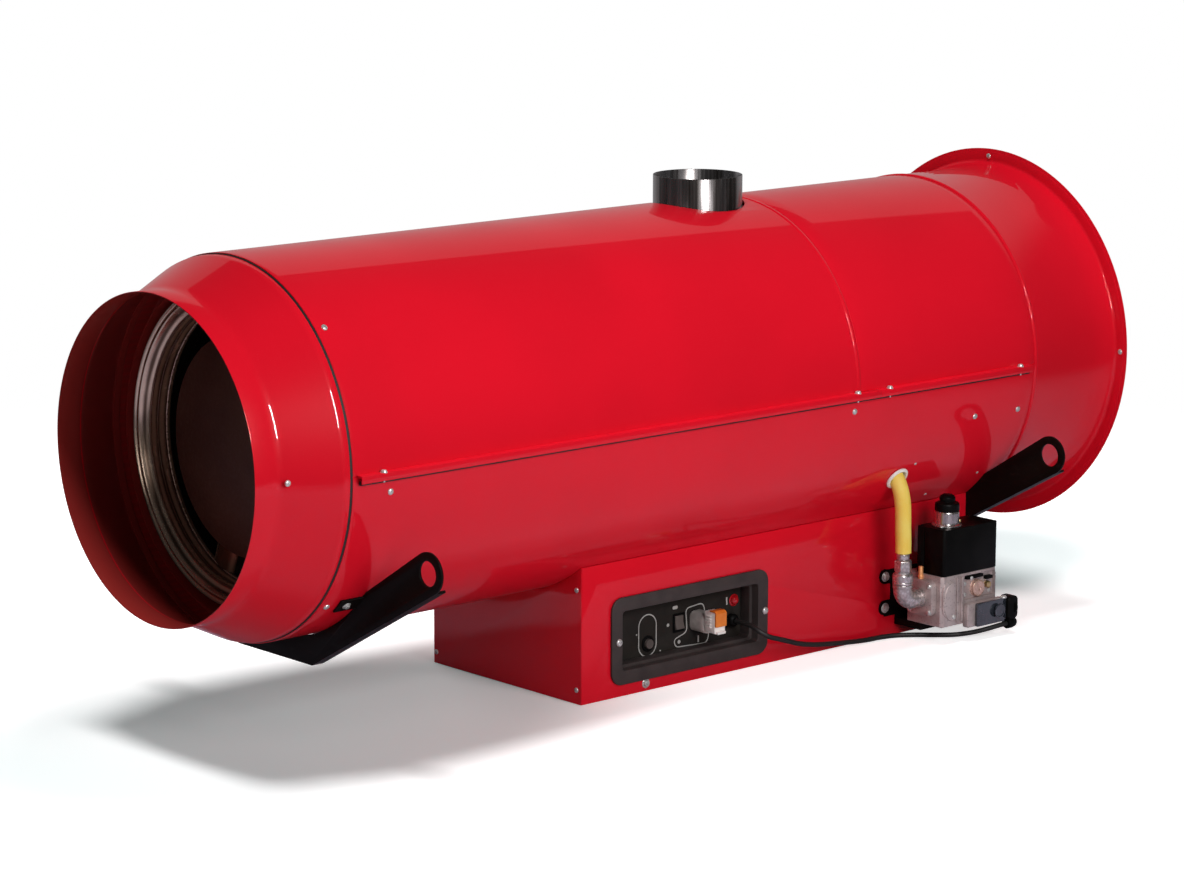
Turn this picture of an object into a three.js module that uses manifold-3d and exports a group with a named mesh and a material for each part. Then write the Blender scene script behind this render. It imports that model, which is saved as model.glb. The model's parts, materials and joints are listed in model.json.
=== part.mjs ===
// Indirect fired heater: a round air tunnel with a combustion chamber inside it, on a control box.
// Millimetres, +Z up. +X runs along the tunnel from the outlet to the fan, and the controls face -Y.
// The origin is the centre of the control box's underside.

import * as THREE from 'three';
import { mergeVertices } from 'three/addons/utils/BufferGeometryUtils.js';
import Module from 'manifold-3d';

const wasm = await Module();
wasm.setup();

// Sizes that every piece shares
const fit = 0.3; // gap between pieces that touch
const overrun = 4; // how far a cutter passes the face that it cuts
const sheet = 1.5; // painted steel sheet
const weld = 0.001; // vertices closer than this are one
const halfShare = 0.5;

// Counts of flats on round pieces
const sides = {
  body: 48, drum: 36, flue: 32, round: 20, pipe: 12, small: 8, corner: 2, wire: 4, guard: 18, cord: 10,
  hex: 6,
};

const box = { length: 900, width: 371, height: 226.844 };

const body = {
  radius: 300, overhang: 549, rearOverhang: 41, rearCover: 427, jointGap: 0.6,
  flangeTop: 3.5, flangeReach: 11, hem: 12, frontSetback: 8, rearSetback: 16, lap: 38, seam: 0.002,
};

const cone = {
  rimRadius: 255, collar: 43, length: 141.5, landLength: 10, step: 2.5, edgeGap: 3,
};

const endRing = { bore: 263, lip: 34, depth: 25, coneLap: 9 };

const shroud = {
  length: 203.5, spigot: 42, flareLength: 56, mouthRadius: 309, flangeRadius: 328, bend: 4,
  flareSteps: 2,
};

const exchanger = {
  outerRadius: 253, innerRadius: 219.5, wall: 1.5, frontSetback: 6, rearSetback: 6, capDepth: 20,
};

// The front cap of the exchanger, as shares of its depth and of the width between its two walls
const capShares = [
  [0.25, 1], [0, 0.88], [0.2, 0.74], [0.05, 0.58], [0.4, 0.4], [0.72, 0.15], [0.7, 0],
];

const chamber = { radius: 173, wall: 2, frontSetback: 21, domeDepth: 20, domeSteps: 3, rearSetback: 24 };

const crossDuct = { radius: 45, wall: 1.5, setback: 79, angle: THREE.MathUtils.degToRad(-112) };

const flue = { setback: 91, radius: 75, wall: 1.2, top: 343.6, holeRadius: 79 };

// Saddles under the exchanger, and the frame that centres the chamber inside it
const cradle = {
  strap: 2, length: 30, legWidth: 26, frontSetback: 71, rearSetback: 800, legs: [-10, -60, -120, -170],
};

const spider = { strap: 2, length: 20, legWidth: 10, setback: 420, legs: [-30, 90, -150] };

const burnerPlate = { radius: 180, thickness: 4, hole: 61, earWidth: 30 };

const burner = {
  tubeRadius: 60, tubeWall: 3, tubeReach: 102.3, diffuser: 3, diffuserSetback: 14, diffuserHole: 16,
  slots: 8, slotRadius: 5, slotCircle: 36,
  flangeRadius: 88, flangeThickness: 8, barrelRadius: 64, bore: 56, length: 76,
  bossRadius: 15, bossHeight: 8, bossX: 34, bossAngle: THREE.MathUtils.degToRad(-36),
};

const nozzle = { radius: 11, length: 84, reach: 22 };

const electrode = {
  radius: 3.5, tipRadius: 1.4, length: 64, tip: 14, spread: 24, rise: 21, clamp: 6, setback: 14,
};

const blower = {
  depth: 60, wall: 2, rise: 130, scrollRadius: 82, throat: 50, drop: 55, outlet: 48, inlet: 42,
  shaftHole: 9, wheelRadius: 64, wheelDepth: 40, wheelInset: 10, hubRadius: 13, blades: 10,
  bladeThickness: 2, bladeDepth: 16, backPlate: 2, motorRadius: 42, motorLength: 58,
  shaftRadius: 5, shaftReach: 20, shaftClearance: 0.6,
};

const fan = {
  tipClearance: 8, hubRadius: 68, hubLength: 84, hubWall: 6, blades: 6, chord: 110, bladeThickness: 4,
  rootPitch: THREE.MathUtils.degToRad(44), tipPitch: THREE.MathUtils.degToRad(26),
  setback: 66, root: 60, spanSteps: 2, shaftRadius: 11, shaftReach: 30, shaftClearance: 0.7,
};

const motor = { radius: 76, length: 72, flange: 6, dome: 8, ribs: 8, ribHeight: 4, ribWidth: 5 };

const support = { gap: 10, armWidth: 34, thickness: 5, hubRadius: 92, bore: 24, arms: 4, foot: 26 };

const guard = {
  wire: 2.4, rings: 5, firstRadius: 70, lastRadius: 270, spokes: 6, rimBore: 304, rimRadius: 333,
  rimThickness: 2,
};

const bracket = {
  setback: 78, thickness: 4, holeY: 375, holeDrop: 142, holeRadius: 19.5, endRadius: 33,
  vertexY: 94, bottomDrop: 335, flange: 22, rootY: 227, frontTab: 42, rearTab: 34,
  tabAngle: THREE.MathUtils.degToRad(-45.2), tabHalf: THREE.MathUtils.degToRad(2.7), tabThickness: 3,
};

const pan = { floor: 2, endFlange: 15 };

// Places on the panel are measured from its middle along X and from the box's underside
const bezel = {
  setback: 238.5, z: 92.5, length: 351, height: 145, corner: 22, proud: 4.5, border: 23,
  tubCorner: 6, depth: 38, wall: 2.5, step: 5, stepDepth: 16, ledge: 4,
};

const plate = { thickness: 3, recess: 0.5 };

const button = { x: -62.9, z: 67.3, radius: 8.5, proud: 6, travel: 3, bodyRadius: 17, bodyLength: 36 };

const rocker = {
  x: 5.5, z: 92, width: 26, height: 32, proud: 2, rim: 2.5, bodyDepth: 22, capProud: 4.5,
  tilt: THREE.MathUtils.degToRad(9), clearance: 1,
};

const socket = { x: 45.5, z: 90.5, width: 31, height: 33, depth: 34, corner: 9, bore: 12, boreDepth: 24 };

const plug = {
  x: 41.5, z: 96.5, width: 24, height: 36, depth: 24, corner: 3, gap: 3, pinLength: 22, neckRadius: 11,
  lip: 5, lipThickness: 4, latchWidth: 24, latchHeight: 27, latchDepth: 4, latchArm: 12, latchRise: 3,
};

const lamp = { x: 131.1, z: 110.4, radius: 8.6, collar: 10.5, collarProud: 1.5, proud: 9, bodyLength: 20 };

const gland = { x: 124.9, z: 77.6, radius: 11, nut: 8, nutLength: 9, proud: 13, tail: 10, bore: 4.7 };

const cable = { radius: 4.25, steps: 32, endGap: 0.7 };

const valve = {
  setback: 176, standoff: 26.5, floorGap: 31, length: 137, depth: 85, height: 88, chamfer: 5,
  padLength: 32, padHeight: 64, padDepth: 1.5, padInset: 18, padRise: 47,
};

const port = {
  width: 58, height: 62, thickness: 12, corner: 12, rise: 49, inset: 43, bore: 13.5, boreDepth: 10,
};

const coverBox = { inset: 3, back: 20, length: 133, depth: 65, height: 81, wall: 3, corner: 4 };

const coil = { radius: 25, height: 62, spacing: 62, yoke: 5 };

const damper = {
  x: 43, radius: 21, height: 25, skirtRadius: 26, skirtHeight: 3.5, spindle: 8, spindleHeight: 12,
};

const cap = { radius: 21, lower: 14, shoulder: 16, upperRadius: 13.8, height: 29, crown: 6 };

const pressureSwitch = {
  x: 52, z: -6, length: 91, height: 41, depth: 12, corner: 3, lensX: 70, lens: 5, lensWall: 1.5,
  plugLength: 29, plugDepth: 21, plugCorner: 5, glandRadius: 9.5, glandLength: 22, glandDrop: 6.5,
  glandY: -99,
};

const elbow = { x: -54, radius: 15, bend: 22, collarRadius: 16.8, collarLength: 6, leg: 8 };

const union = {
  collar: 17.4, collarHeight: 18, waist: 13, waistHeight: 4, ring: 15.5, ringHeight: 20, neck: 9,
  neckHeight: 12, barb: 11,
};

const hose = { radius: 13.8, bore: 9.7, steps: 18, lean: 22.8, lead: 14.5, tail: 36 };

const grommet = {
  setback: 13, angle: THREE.MathUtils.degToRad(34), radius: 22, bore: 16.2, neck: 18.6, thickness: 5,
  neckDepth: 4, rimShare: 0.6,
};

const gasLine = { radius: 11, bore: 9, steps: 10, lead: 30 };

const controller = { x: 215, y: 60, length: 96, width: 92, height: 66, lid: 5, lidInset: 4 };

const igniter = { x: 95, y: 60, length: 86, width: 60, height: 58, post: 6, postHeight: 12 };

const mount = {
  earX: -27, lowEar: 20.4, highEar: 75.6, earRadius: 13, thickness: 3, low: 5, high: 87, shelf: 3,
  shelfReach: 36, lip: 12, post: 12,
};

// Places worked out from those sizes
const frontX = -box.length / 2 - body.overhang;
const rearX = box.length / 2 + body.rearOverhang;
const bodyLength = rearX - frontX;
const jointX = rearX - body.rearCover;
const saddleRadius = body.radius + fit;
const axisHeight = box.height + Math.sqrt(saddleRadius ** 2 - (box.width / 2) ** 2);
const flueX = jointX - flue.setback;
const panelX = bezel.setback - box.length / 2;
const valveX = box.length / 2 - valve.setback;
const hoseX = valveX + elbow.x - grommet.setback;
const innerRadius = body.radius - sheet;
const flatRadius = innerRadius * Math.cos(Math.PI / sides.body);
const coneEndX = frontX - cone.edgeGap;
const rimX = coneEndX - cone.length;
const coneEndRadius = body.radius - cone.step;
const shroudEndX = rearX + fit + shroud.length;
const boxFaceY = -box.width / 2;
const plateY = boxFaceY - bezel.proud + bezel.depth;
const valveY = boxFaceY - valve.standoff;

// A point on a circle about the X axis; the angle is counted up from the -Y side
function around(radius, angle) {
  return [-radius * Math.cos(angle), radius * Math.sin(angle)];
}

function arc(centre, radius, from, to, steps) {
  const points = [];
  for (let i = 0; i <= steps; i += 1) {
    const angle = from + ((to - from) * i) / steps;
    points.push([centre[0] + radius * Math.cos(angle), centre[1] + radius * Math.sin(angle)]);
  }
  return points;
}

function rectangle(x0, x1, y0, y1) {
  return [[x0, y0], [x1, y0], [x1, y1], [x0, y1]];
}

function roundedRectangle(centreX, centreY, length, height, radius, steps) {
  const right = length / 2 - radius;
  const up = height / 2 - radius;
  const quarter = Math.PI / 2;
  const corners = [[right, up], [-right, up], [-right, -up], [right, -up]];
  return corners.flatMap(([x, y], i) => (
    arc([centreX + x, centreY + y], radius, quarter * i, quarter * (i + 1), steps)
  ));
}

// A closed solid from a geometry whose seams are welded
function solidOf(geometry) {
  const bare = geometry.clone();
  bare.deleteAttribute('normal');
  bare.deleteAttribute('uv');
  const merged = mergeVertices(bare, weld);
  const index = merged.index.array;
  const triangles = [];
  for (let i = 0; i < index.length; i += 3) {
    const [a, b, c] = [index[i], index[i + 1], index[i + 2]];
    if (a !== b && b !== c && c !== a) triangles.push(a, b, c);
  }
  return new wasm.Manifold(new wasm.Mesh({
    numProp: 3,
    vertProperties: Float32Array.from(merged.attributes.position.array),
    triVerts: Uint32Array.from(triangles),
  }));
}

function geometryOf(solid) {
  const mesh = solid.getMesh();
  const geometry = new THREE.BufferGeometry();
  geometry.setAttribute('position', new THREE.BufferAttribute(Float32Array.from(mesh.vertProperties), 3));
  geometry.setIndex(new THREE.BufferAttribute(Uint32Array.from(mesh.triVerts), 1));
  geometry.computeVertexNormals();
  return geometry;
}

function joined(solids) {
  return solids.reduce((whole, piece) => whole.add(piece));
}

function cut(solid, cutters) {
  return cutters.reduce((whole, piece) => whole.subtract(piece), solid);
}

function block(x0, x1, y0, y1, z0, z1) {
  const geometry = new THREE.BoxGeometry(x1 - x0, y1 - y0, z1 - z0);
  geometry.translate((x0 + x1) / 2, (y0 + y1) / 2, (z0 + z1) / 2);
  return solidOf(geometry);
}

const xAxis = new THREE.Vector3(1, 0, 0);
const yAxis = new THREE.Vector3(0, 1, 0);
const zAxis = new THREE.Vector3(0, 0, 1);

// An outline given in Y and Z, drawn out along X; in X and Z, drawn out towards -Y; or in X and Y, up Z
const alongX = new THREE.Matrix4().makeBasis(yAxis, zAxis, xAxis);
const alongY = new THREE.Matrix4().makeBasis(xAxis, zAxis, yAxis.clone().negate());
const alongZ = new THREE.Matrix4();

function prism(outline, basis, start, depth, holes = []) {
  const shape = new THREE.Shape(outline.map(([u, v]) => new THREE.Vector2(u, v)));
  shape.holes = holes.map((hole) => new THREE.Path(hole.map(([u, v]) => new THREE.Vector2(u, v))));
  const geometry = new THREE.ExtrudeGeometry(shape, { depth, bevelEnabled: false, steps: 1 });
  geometry.translate(0, 0, start);
  geometry.applyMatrix4(basis);
  return solidOf(geometry);
}

// A profile of radius and height, turned about a line from a point in a direction.
// It runs from the bottom of the axis to its top, or round a closed ring that goes up outside.
function turned(profile, at, direction, flats) {
  const points = profile.map(([radius, height]) => new THREE.Vector2(radius, height));
  const geometry = new THREE.LatheGeometry(points, flats);
  geometry.applyQuaternion(new THREE.Quaternion().setFromUnitVectors(yAxis, direction));
  geometry.translate(at.x, at.y, at.z);
  return solidOf(geometry);
}

const centreLine = new THREE.Vector3();

// A ring or drum about the tunnel's axis, from points of distance along it and radius
function revolved(points, flats) {
  return turned(points.map(([x, radius]) => [radius, x]), centreLine, xAxis, flats);
}

function ring(x0, x1, bore, radius, flats) {
  return revolved([[x0, bore], [x0, radius], [x1, radius], [x1, bore], [x0, bore]], flats);
}

function disc(x0, x1, radius, flats) {
  return revolved([[x0, 0], [x0, radius], [x1, radius], [x1, 0]], flats);
}

function rod(at, direction, radius, length, flats) {
  return turned([[0, 0], [radius, 0], [radius, length], [0, length]], at, direction, flats);
}

function tube(at, direction, bore, radius, length, flats) {
  const profile = [[bore, 0], [radius, 0], [radius, length], [bore, length], [bore, 0]];
  return turned(profile, at, direction, flats);
}

function circle(radius, flats) {
  return arc([0, 0], radius, 0, Math.PI * 2, flats).slice(0, flats);
}

function swept(points, radius, steps, flats, bore = 0) {
  const path = new THREE.CatmullRomCurve3(points, false, 'centripetal');
  const shape = new THREE.Shape(circle(radius, flats).map(([u, v]) => new THREE.Vector2(u, v)));
  if (bore > 0) {
    shape.holes = [new THREE.Path(circle(bore, flats).map(([u, v]) => new THREE.Vector2(u, v)))];
  }
  return solidOf(new THREE.ExtrudeGeometry(shape, { steps, extrudePath: path, bevelEnabled: false }));
}

const finishes = {
  redPaint: { color: 0xd3132b, roughness: 0.25, metalness: 0 },
  blackPaint: { color: 0x17110f, roughness: 0.45, metalness: 0 },
  stainless: { color: 0x9c948e, roughness: 0.25, metalness: 1 },
  scorchedSteel: { color: 0x2a1712, roughness: 0.6, metalness: 0.5 },
  zinc: { color: 0xb9b9b6, roughness: 0.35, metalness: 1 },
  castAluminium: { color: 0xa89a98, roughness: 0.55, metalness: 0.6 },
  darkPlastic: { color: 0x38302f, roughness: 0.6, metalness: 0 },
  blackPlastic: { color: 0x141413, roughness: 0.5, metalness: 0 },
  whitePlastic: { color: 0xd8d2ce, roughness: 0.5, metalness: 0 },
  greyPlastic: { color: 0x9a9490, roughness: 0.6, metalness: 0 },
  orangePlastic: { color: 0xe8701c, roughness: 0.45, metalness: 0 },
  redLens: { color: 0xb3121c, roughness: 0.15, metalness: 0 },
  smokedLens: { color: 0x3a4048, roughness: 0.1, metalness: 0 },
  rubber: { color: 0x1c1a19, roughness: 0.7, metalness: 0 },
  yellowRubber: { color: 0xe6b944, roughness: 0.7, metalness: 0 },
};

function piece(name, solid, finish) {
  const mesh = new THREE.Mesh(geometryOf(solid), new THREE.MeshStandardMaterial(finish));
  mesh.name = name;
  return mesh;
}

// An arc whose corners lie on those of a round piece with this many flats
function alignedArc(radius, from, to, flats) {
  const pitch = (Math.PI * 2) / flats;
  const way = Math.sign(to - from);
  const angles = [from];
  let step = Math.floor(from / pitch) + (way > 0 ? 1 : 0);
  for (; way * (to - step * pitch) > body.seam; step += way) {
    if (way * (step * pitch - from) > body.seam) angles.push(step * pitch);
  }
  angles.push(to);
  return angles.map((angle) => [radius * Math.cos(angle), radius * Math.sin(angle)]);
}

// A block that stands out from the tunnel's axis at an angle
function radialBlock(x0, x1, angle, inner, outer, width) {
  const geometry = new THREE.BoxGeometry(x1 - x0, outer - inner, width);
  geometry.translate((x0 + x1) / 2, -(inner + outer) / 2, 0);
  geometry.rotateX(-angle);
  return solidOf(geometry);
}

// How far a block of some width reaches inside a round wall
function reachInside(radius, width) {
  return Math.sqrt((radius - fit) ** 2 - (width / 2) ** 2);
}

function radialOut(angle) {
  const [y, z] = around(1, angle);
  return new THREE.Vector3(0, y, z);
}

// Body covers: two on top, one below, joined by flanges along both sides
const flangeTip = body.radius + body.flangeReach;

function coverOutline() {
  const top = body.flangeTop;
  const under = top - sheet;
  const hemTip = top - body.hem;
  const outer = Math.asin(top / body.radius);
  const inner = Math.asin(under / innerRadius);
  return [
    [flangeTip - sheet, under], [flangeTip - sheet, hemTip], [flangeTip, hemTip], [flangeTip, top],
    ...alignedArc(body.radius, outer, Math.PI - outer, sides.body),
    [-flangeTip, top], [-flangeTip, hemTip], [sheet - flangeTip, hemTip], [sheet - flangeTip, under],
    ...alignedArc(innerRadius, Math.PI - inner, inner, sides.body),
  ];
}

function lowerOutline() {
  const top = body.flangeTop - sheet - fit;
  const under = top - sheet;
  const tip = flangeTip - sheet - fit;
  const outer = Math.asin(under / body.radius);
  const inner = Math.asin(top / innerRadius);
  return [
    [tip, under], [tip, top], ...alignedArc(innerRadius, inner, -Math.PI - inner, sides.body),
    [-tip, top], [-tip, under], ...alignedArc(body.radius, -Math.PI - outer, outer, sides.body),
  ];
}

// Blocks that take the side flanges away between two places along the body
function flangeCut(x0, x1) {
  const low = -body.hem - overrun;
  const high = body.flangeTop + overrun;
  const root = body.radius + fit;
  const tip = flangeTip + overrun;
  return [block(x0, x1, root, tip, low, high), block(x0, x1, -tip, -root, low, high)];
}

const hoseOut = radialOut(-grommet.angle);
const hosePlace = new THREE.Vector3(hoseX, 0, 0).addScaledVector(hoseOut, body.radius);

function lowerShell() {
  const shell = prism(lowerOutline(), alongX, frontX, bodyLength);
  const start = hosePlace.clone().addScaledVector(hoseOut, -grommet.radius);
  return cut(shell, [
    ...flangeCut(frontX - overrun, frontX + body.frontSetback),
    ...flangeCut(rearX - body.rearSetback, rearX + overrun),
    rod(start, hoseOut, grommet.neck + fit, grommet.radius * 2, sides.pipe),
  ]);
}

function frontUpperCover() {
  const cover = prism(coverOutline(), alongX, frontX, jointX - frontX);
  const flueHole = rod(new THREE.Vector3(flueX, 0, 0), zAxis, flue.holeRadius, flue.top, sides.flue);
  const root = body.radius + fit * 2;
  const top = body.flangeTop;
  const laps = [-1, 1].map((side) => prism([
    [side * root, top - sheet], [side * (flangeTip - sheet), top - sheet],
    [side * (flangeTip - sheet), top - body.hem], [side * flangeTip, top - body.hem],
    [side * flangeTip, top], [side * root, top],
  ], alongX, jointX - overrun, body.lap + overrun));
  const flangeEnd = frontX + body.frontSetback;
  return cut(joined([cut(cover, [flueHole]), ...laps]), flangeCut(frontX - overrun, flangeEnd));
}

function rearUpperCover() {
  const start = jointX + body.jointGap;
  const cover = prism(coverOutline(), alongX, start, rearX - start);
  return cut(cover, [
    ...flangeCut(start - overrun, jointX + body.lap + body.jointGap),
    ...flangeCut(rearX - body.rearSetback, rearX + overrun),
  ]);
}

// A spun sheet: its outer line, with the wall drawn radially inwards
function spun(line, wall, flats) {
  const inner = line.map(([x, radius]) => [x, radius - wall]).reverse();
  return revolved([...line, ...inner, line[0]], flats);
}

function outletCone() {
  return spun([
    [rimX, cone.rimRadius], [rimX + cone.collar, cone.rimRadius],
    [coneEndX - cone.landLength, coneEndRadius], [coneEndX, coneEndRadius],
  ], sheet, sides.body);
}

// The ring that the cone and the covers are screwed to, with a lip round the air gap
const landRadius = innerRadius - fit;

function frontRing() {
  const coneLand = coneEndRadius - sheet - fit;
  const step = frontX - cone.edgeGap / 2;
  const webX = frontX + endRing.depth;
  const lipX = webX - endRing.lip;
  const noseX = coneEndX - endRing.coneLap;
  return revolved([
    [noseX, coneLand - sheet], [noseX, coneLand], [step, coneLand], [step, landRadius],
    [webX + sheet, landRadius], [webX + sheet, endRing.bore], [lipX, endRing.bore],
    [lipX, endRing.bore + sheet], [webX, endRing.bore + sheet], [webX, landRadius - sheet],
    [step + sheet, landRadius - sheet], [step + sheet, coneLand - sheet], [noseX, coneLand - sheet],
  ], sides.body);
}

// The fan's shroud: a spigot inside the covers, a straight drum and a flared mouth with a flange
function intakeShroud() {
  const stepX = rearX + fit;
  const flareX = shroudEndX - shroud.flareLength;
  const turnX = shroudEndX - shroud.bend;
  const flare = [];
  for (let i = 0; i <= shroud.flareSteps; i += 1) {
    const share = i / shroud.flareSteps;
    const radius = body.radius + (shroud.mouthRadius - body.radius) * share * share;
    flare.push([flareX + (turnX - flareX) * share, radius]);
  }
  const inside = [...flare].reverse().map(([x, radius]) => [x, radius - sheet]);
  const bendRadius = shroud.mouthRadius + shroud.bend;
  return revolved([
    [rearX - shroud.spigot, landRadius], [stepX, landRadius], [stepX, body.radius], ...flare,
    [shroudEndX - sheet, bendRadius], [shroudEndX - sheet, shroud.flangeRadius],
    [shroudEndX, shroud.flangeRadius], [shroudEndX, bendRadius - sheet], ...inside,
    [stepX + sheet, innerRadius], [stepX + sheet, landRadius - sheet],
    [rearX - shroud.spigot, landRadius - sheet], [rearX - shroud.spigot, landRadius],
  ], sides.body);
}

// The guard: a flat rim on the shroud's flange, with wire rings on spokes
function fanGuard() {
  const faceX = shroudEndX + fit;
  const rim = ring(faceX, faceX + guard.rimThickness, guard.rimBore, guard.rimRadius, sides.body);
  const wireX = faceX + guard.rimThickness / 2 + guard.wire;
  const pitch = (guard.lastRadius - guard.firstRadius) / (guard.rings - 1);
  const rings = Array.from({ length: guard.rings }, (_, i) => {
    const radius = guard.firstRadius + pitch * i;
    return revolved([
      [wireX - guard.wire, radius], [wireX, radius + guard.wire], [wireX + guard.wire, radius],
      [wireX, radius - guard.wire], [wireX - guard.wire, radius],
    ], sides.guard);
  });
  const spokeEnd = (guard.rimBore + guard.rimRadius) / 2;
  const spokes = Array.from({ length: guard.spokes }, (_, i) => {
    const angle = ((i + halfShare) * Math.PI * 2) / guard.spokes;
    return radialBlock(
      wireX - guard.wire, wireX + guard.wire, angle, guard.firstRadius, spokeEnd, guard.wire * 2,
    );
  });
  return joined([rim, ...rings, ...spokes]);
}

const fanX = rearX + fan.setback;
const supportX = fanX + fan.hubLength / 2 + support.gap;
const motorX = supportX + support.thickness + fit;

// A plate that carries the motor on arms, with feet on the shroud's wall
function motorSupport() {
  const rear = supportX + support.thickness;
  const reach = reachInside(flatRadius, support.armWidth);
  const hub = ring(supportX, rear, support.bore, support.hubRadius, sides.round);
  const arms = Array.from({ length: support.arms }, (_, i) => {
    const angle = ((i + halfShare) * Math.PI * 2) / support.arms;
    const arm = radialBlock(supportX, rear, angle, motor.radius, reach, support.armWidth);
    const foot = radialBlock(
      supportX, supportX + support.foot, angle, reach - support.thickness, reach, support.armWidth,
    );
    return arm.add(foot);
  });
  return joined([hub, ...arms]);
}

function fanMotor() {
  const rear = motorX + motor.length;
  const shell = revolved([
    [motorX, 0], [motorX, support.hubRadius], [motorX + motor.flange, support.hubRadius],
    [motorX + motor.flange, motor.radius], [rear - motor.dome, motor.radius],
    [rear, motor.radius - motor.dome], [rear, 0],
  ], sides.round);
  const bore = fan.shaftRadius + fan.shaftClearance;
  const ribs = Array.from({ length: motor.ribs }, (_, i) => radialBlock(
    motorX + motor.flange / 2, rear - motor.dome, (i * Math.PI * 2) / motor.ribs,
    motor.radius - motor.ribHeight, motor.radius + motor.ribHeight, motor.ribWidth,
  ));
  return joined([shell, ...ribs])
    .subtract(disc(motorX - overrun, motorX + fan.shaftReach + fit, bore, sides.pipe));
}

// One blade, twisted from its root to its tip
function fanBlade(index) {
  const tip = flatRadius - fan.tipClearance;
  const span = tip - fan.root;
  const geometry = new THREE.BoxGeometry(fan.bladeThickness, span, fan.chord, 1, fan.spanSteps, 1);
  const place = geometry.attributes.position;
  const corner = new THREE.Vector3();
  for (let i = 0; i < place.count; i += 1) {
    corner.fromBufferAttribute(place, i);
    const share = corner.y / span + halfShare;
    corner.applyAxisAngle(yAxis, fan.rootPitch + (fan.tipPitch - fan.rootPitch) * share);
    place.setXYZ(i, corner.x, corner.y + fan.root + span / 2, corner.z);
  }
  geometry.rotateX((index * Math.PI * 2) / fan.blades);
  geometry.translate(fanX, 0, 0);
  return solidOf(geometry).intersect(disc(fanX - fan.chord, fanX + fan.chord, tip, sides.body));
}

function fanImpeller() {
  const x0 = fanX - fan.hubLength / 2;
  const x1 = fanX + fan.hubLength / 2;
  const inside = fan.hubRadius - fan.hubWall;
  const floorX = x0 + fan.hubWall * 2;
  const hub = revolved([
    [x0, 0], [x0, inside], [x0 + fan.hubWall, fan.hubRadius], [x1, fan.hubRadius], [x1, inside],
    [floorX, inside], [floorX, 0],
  ], sides.round);
  const shaft = disc(x0 + fan.hubWall, motorX + fan.shaftReach, fan.shaftRadius, sides.pipe);
  const hollow = disc(floorX, x1 + overrun, inside, sides.round);
  const blades = Array.from({ length: fan.blades }, (_, i) => fanBlade(i).subtract(hollow));
  return joined([hub, shaft, ...blades]);
}

// The annular heat exchanger round the chamber
const exchangerX = frontX - exchanger.frontSetback;
const exchangerRear = jointX - exchanger.rearSetback;
const chamberX = frontX + chamber.frontSetback;
const chamberRear = jointX - chamber.rearSetback;
const ductX = frontX + crossDuct.setback;
const ductOut = radialOut(crossDuct.angle);
const exchangerMiddle = (exchanger.innerRadius + exchanger.outerRadius) / 2;

function exchangerForm(inset, rear) {
  const inner = exchanger.innerRadius + inset;
  const outer = exchanger.outerRadius - inset;
  const front = capShares.map(([depthShare, widthShare]) => [
    exchangerX + inset + exchanger.capDepth * depthShare, inner + (outer - inner) * widthShare,
  ]).reverse();
  return revolved([...front, [rear, outer], [rear, inner], front[0]], sides.drum);
}

function ductCutter() {
  const start = chamber.radius / 2;
  const at = new THREE.Vector3(ductX, 0, 0).addScaledVector(ductOut, start);
  return rod(at, ductOut, crossDuct.radius - crossDuct.wall, exchangerMiddle - start, sides.pipe);
}

function heatExchanger() {
  const shell = exchangerForm(0, exchangerRear);
  const hollow = exchangerForm(exchanger.wall, exchangerRear - exchanger.wall);
  const flueStart = new THREE.Vector3(flueX, 0, exchangerMiddle);
  const flueHole = rod(flueStart, zAxis, flue.radius - flue.wall, exchangerMiddle, sides.flue);
  return cut(shell, [hollow, flueHole, ductCutter()]);
}

function flueCollar() {
  const start = new THREE.Vector3(flueX, 0, exchanger.innerRadius);
  const length = flue.top - exchanger.innerRadius;
  const pipe = tube(start, zAxis, flue.radius - flue.wall, flue.radius, length, sides.flue);
  const reach = flue.radius + overrun;
  const drum = disc(flueX - reach, flueX + reach, exchanger.outerRadius + fit, sides.drum);
  return pipe.subtract(drum);
}

// The combustion chamber: a drum with a domed front, open behind to the burner
function chamberForm(inset, rear) {
  const radius = chamber.radius - inset;
  const points = [];
  for (let i = 0; i <= chamber.domeSteps; i += 1) {
    const angle = (Math.PI / 2) * (i / chamber.domeSteps);
    const x = chamberX + inset - chamber.domeDepth * Math.cos(angle) ** 2;
    points.push([x, radius * Math.sin(angle)]);
  }
  return revolved([...points, [rear, radius], [rear, 0]], sides.drum);
}

function combustionChamber() {
  const hollow = chamberForm(chamber.wall, chamberRear + overrun);
  return cut(chamberForm(0, chamberRear), [hollow, ductCutter()]);
}

// The duct that takes the gases from the chamber to the exchanger, across the air between them
function crossDuctPiece() {
  const start = chamber.radius / 2;
  const at = new THREE.Vector3(ductX, 0, 0).addScaledVector(ductOut, start);
  const bore = crossDuct.radius - crossDuct.wall;
  const pipe = tube(at, ductOut, bore, crossDuct.radius, exchanger.outerRadius - start, sides.round);
  const reach = crossDuct.radius + overrun;
  const gap = ring(
    ductX - reach, ductX + reach, chamber.radius + fit, exchanger.innerRadius - fit, sides.drum,
  );
  return pipe.intersect(gap);
}

// A saddle under the exchanger, with legs that stand on the lower shell
function exchangerCradle(x) {
  const inner = exchanger.outerRadius + fit;
  const [first, last] = [cradle.legs[0], cradle.legs[cradle.legs.length - 1]].map(THREE.MathUtils.degToRad);
  const strap = prism([
    ...alignedArc(inner + cradle.strap, last, first, sides.drum),
    ...alignedArc(inner, first, last, sides.drum),
  ], alongX, x, cradle.length);
  const reach = reachInside(flatRadius, cradle.legWidth);
  const legs = cradle.legs.map((degrees) => radialBlock(
    x, x + cradle.length, THREE.MathUtils.degToRad(degrees), inner + cradle.strap / 2, reach, cradle.legWidth,
  ));
  return joined([strap, ...legs]);
}

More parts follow.
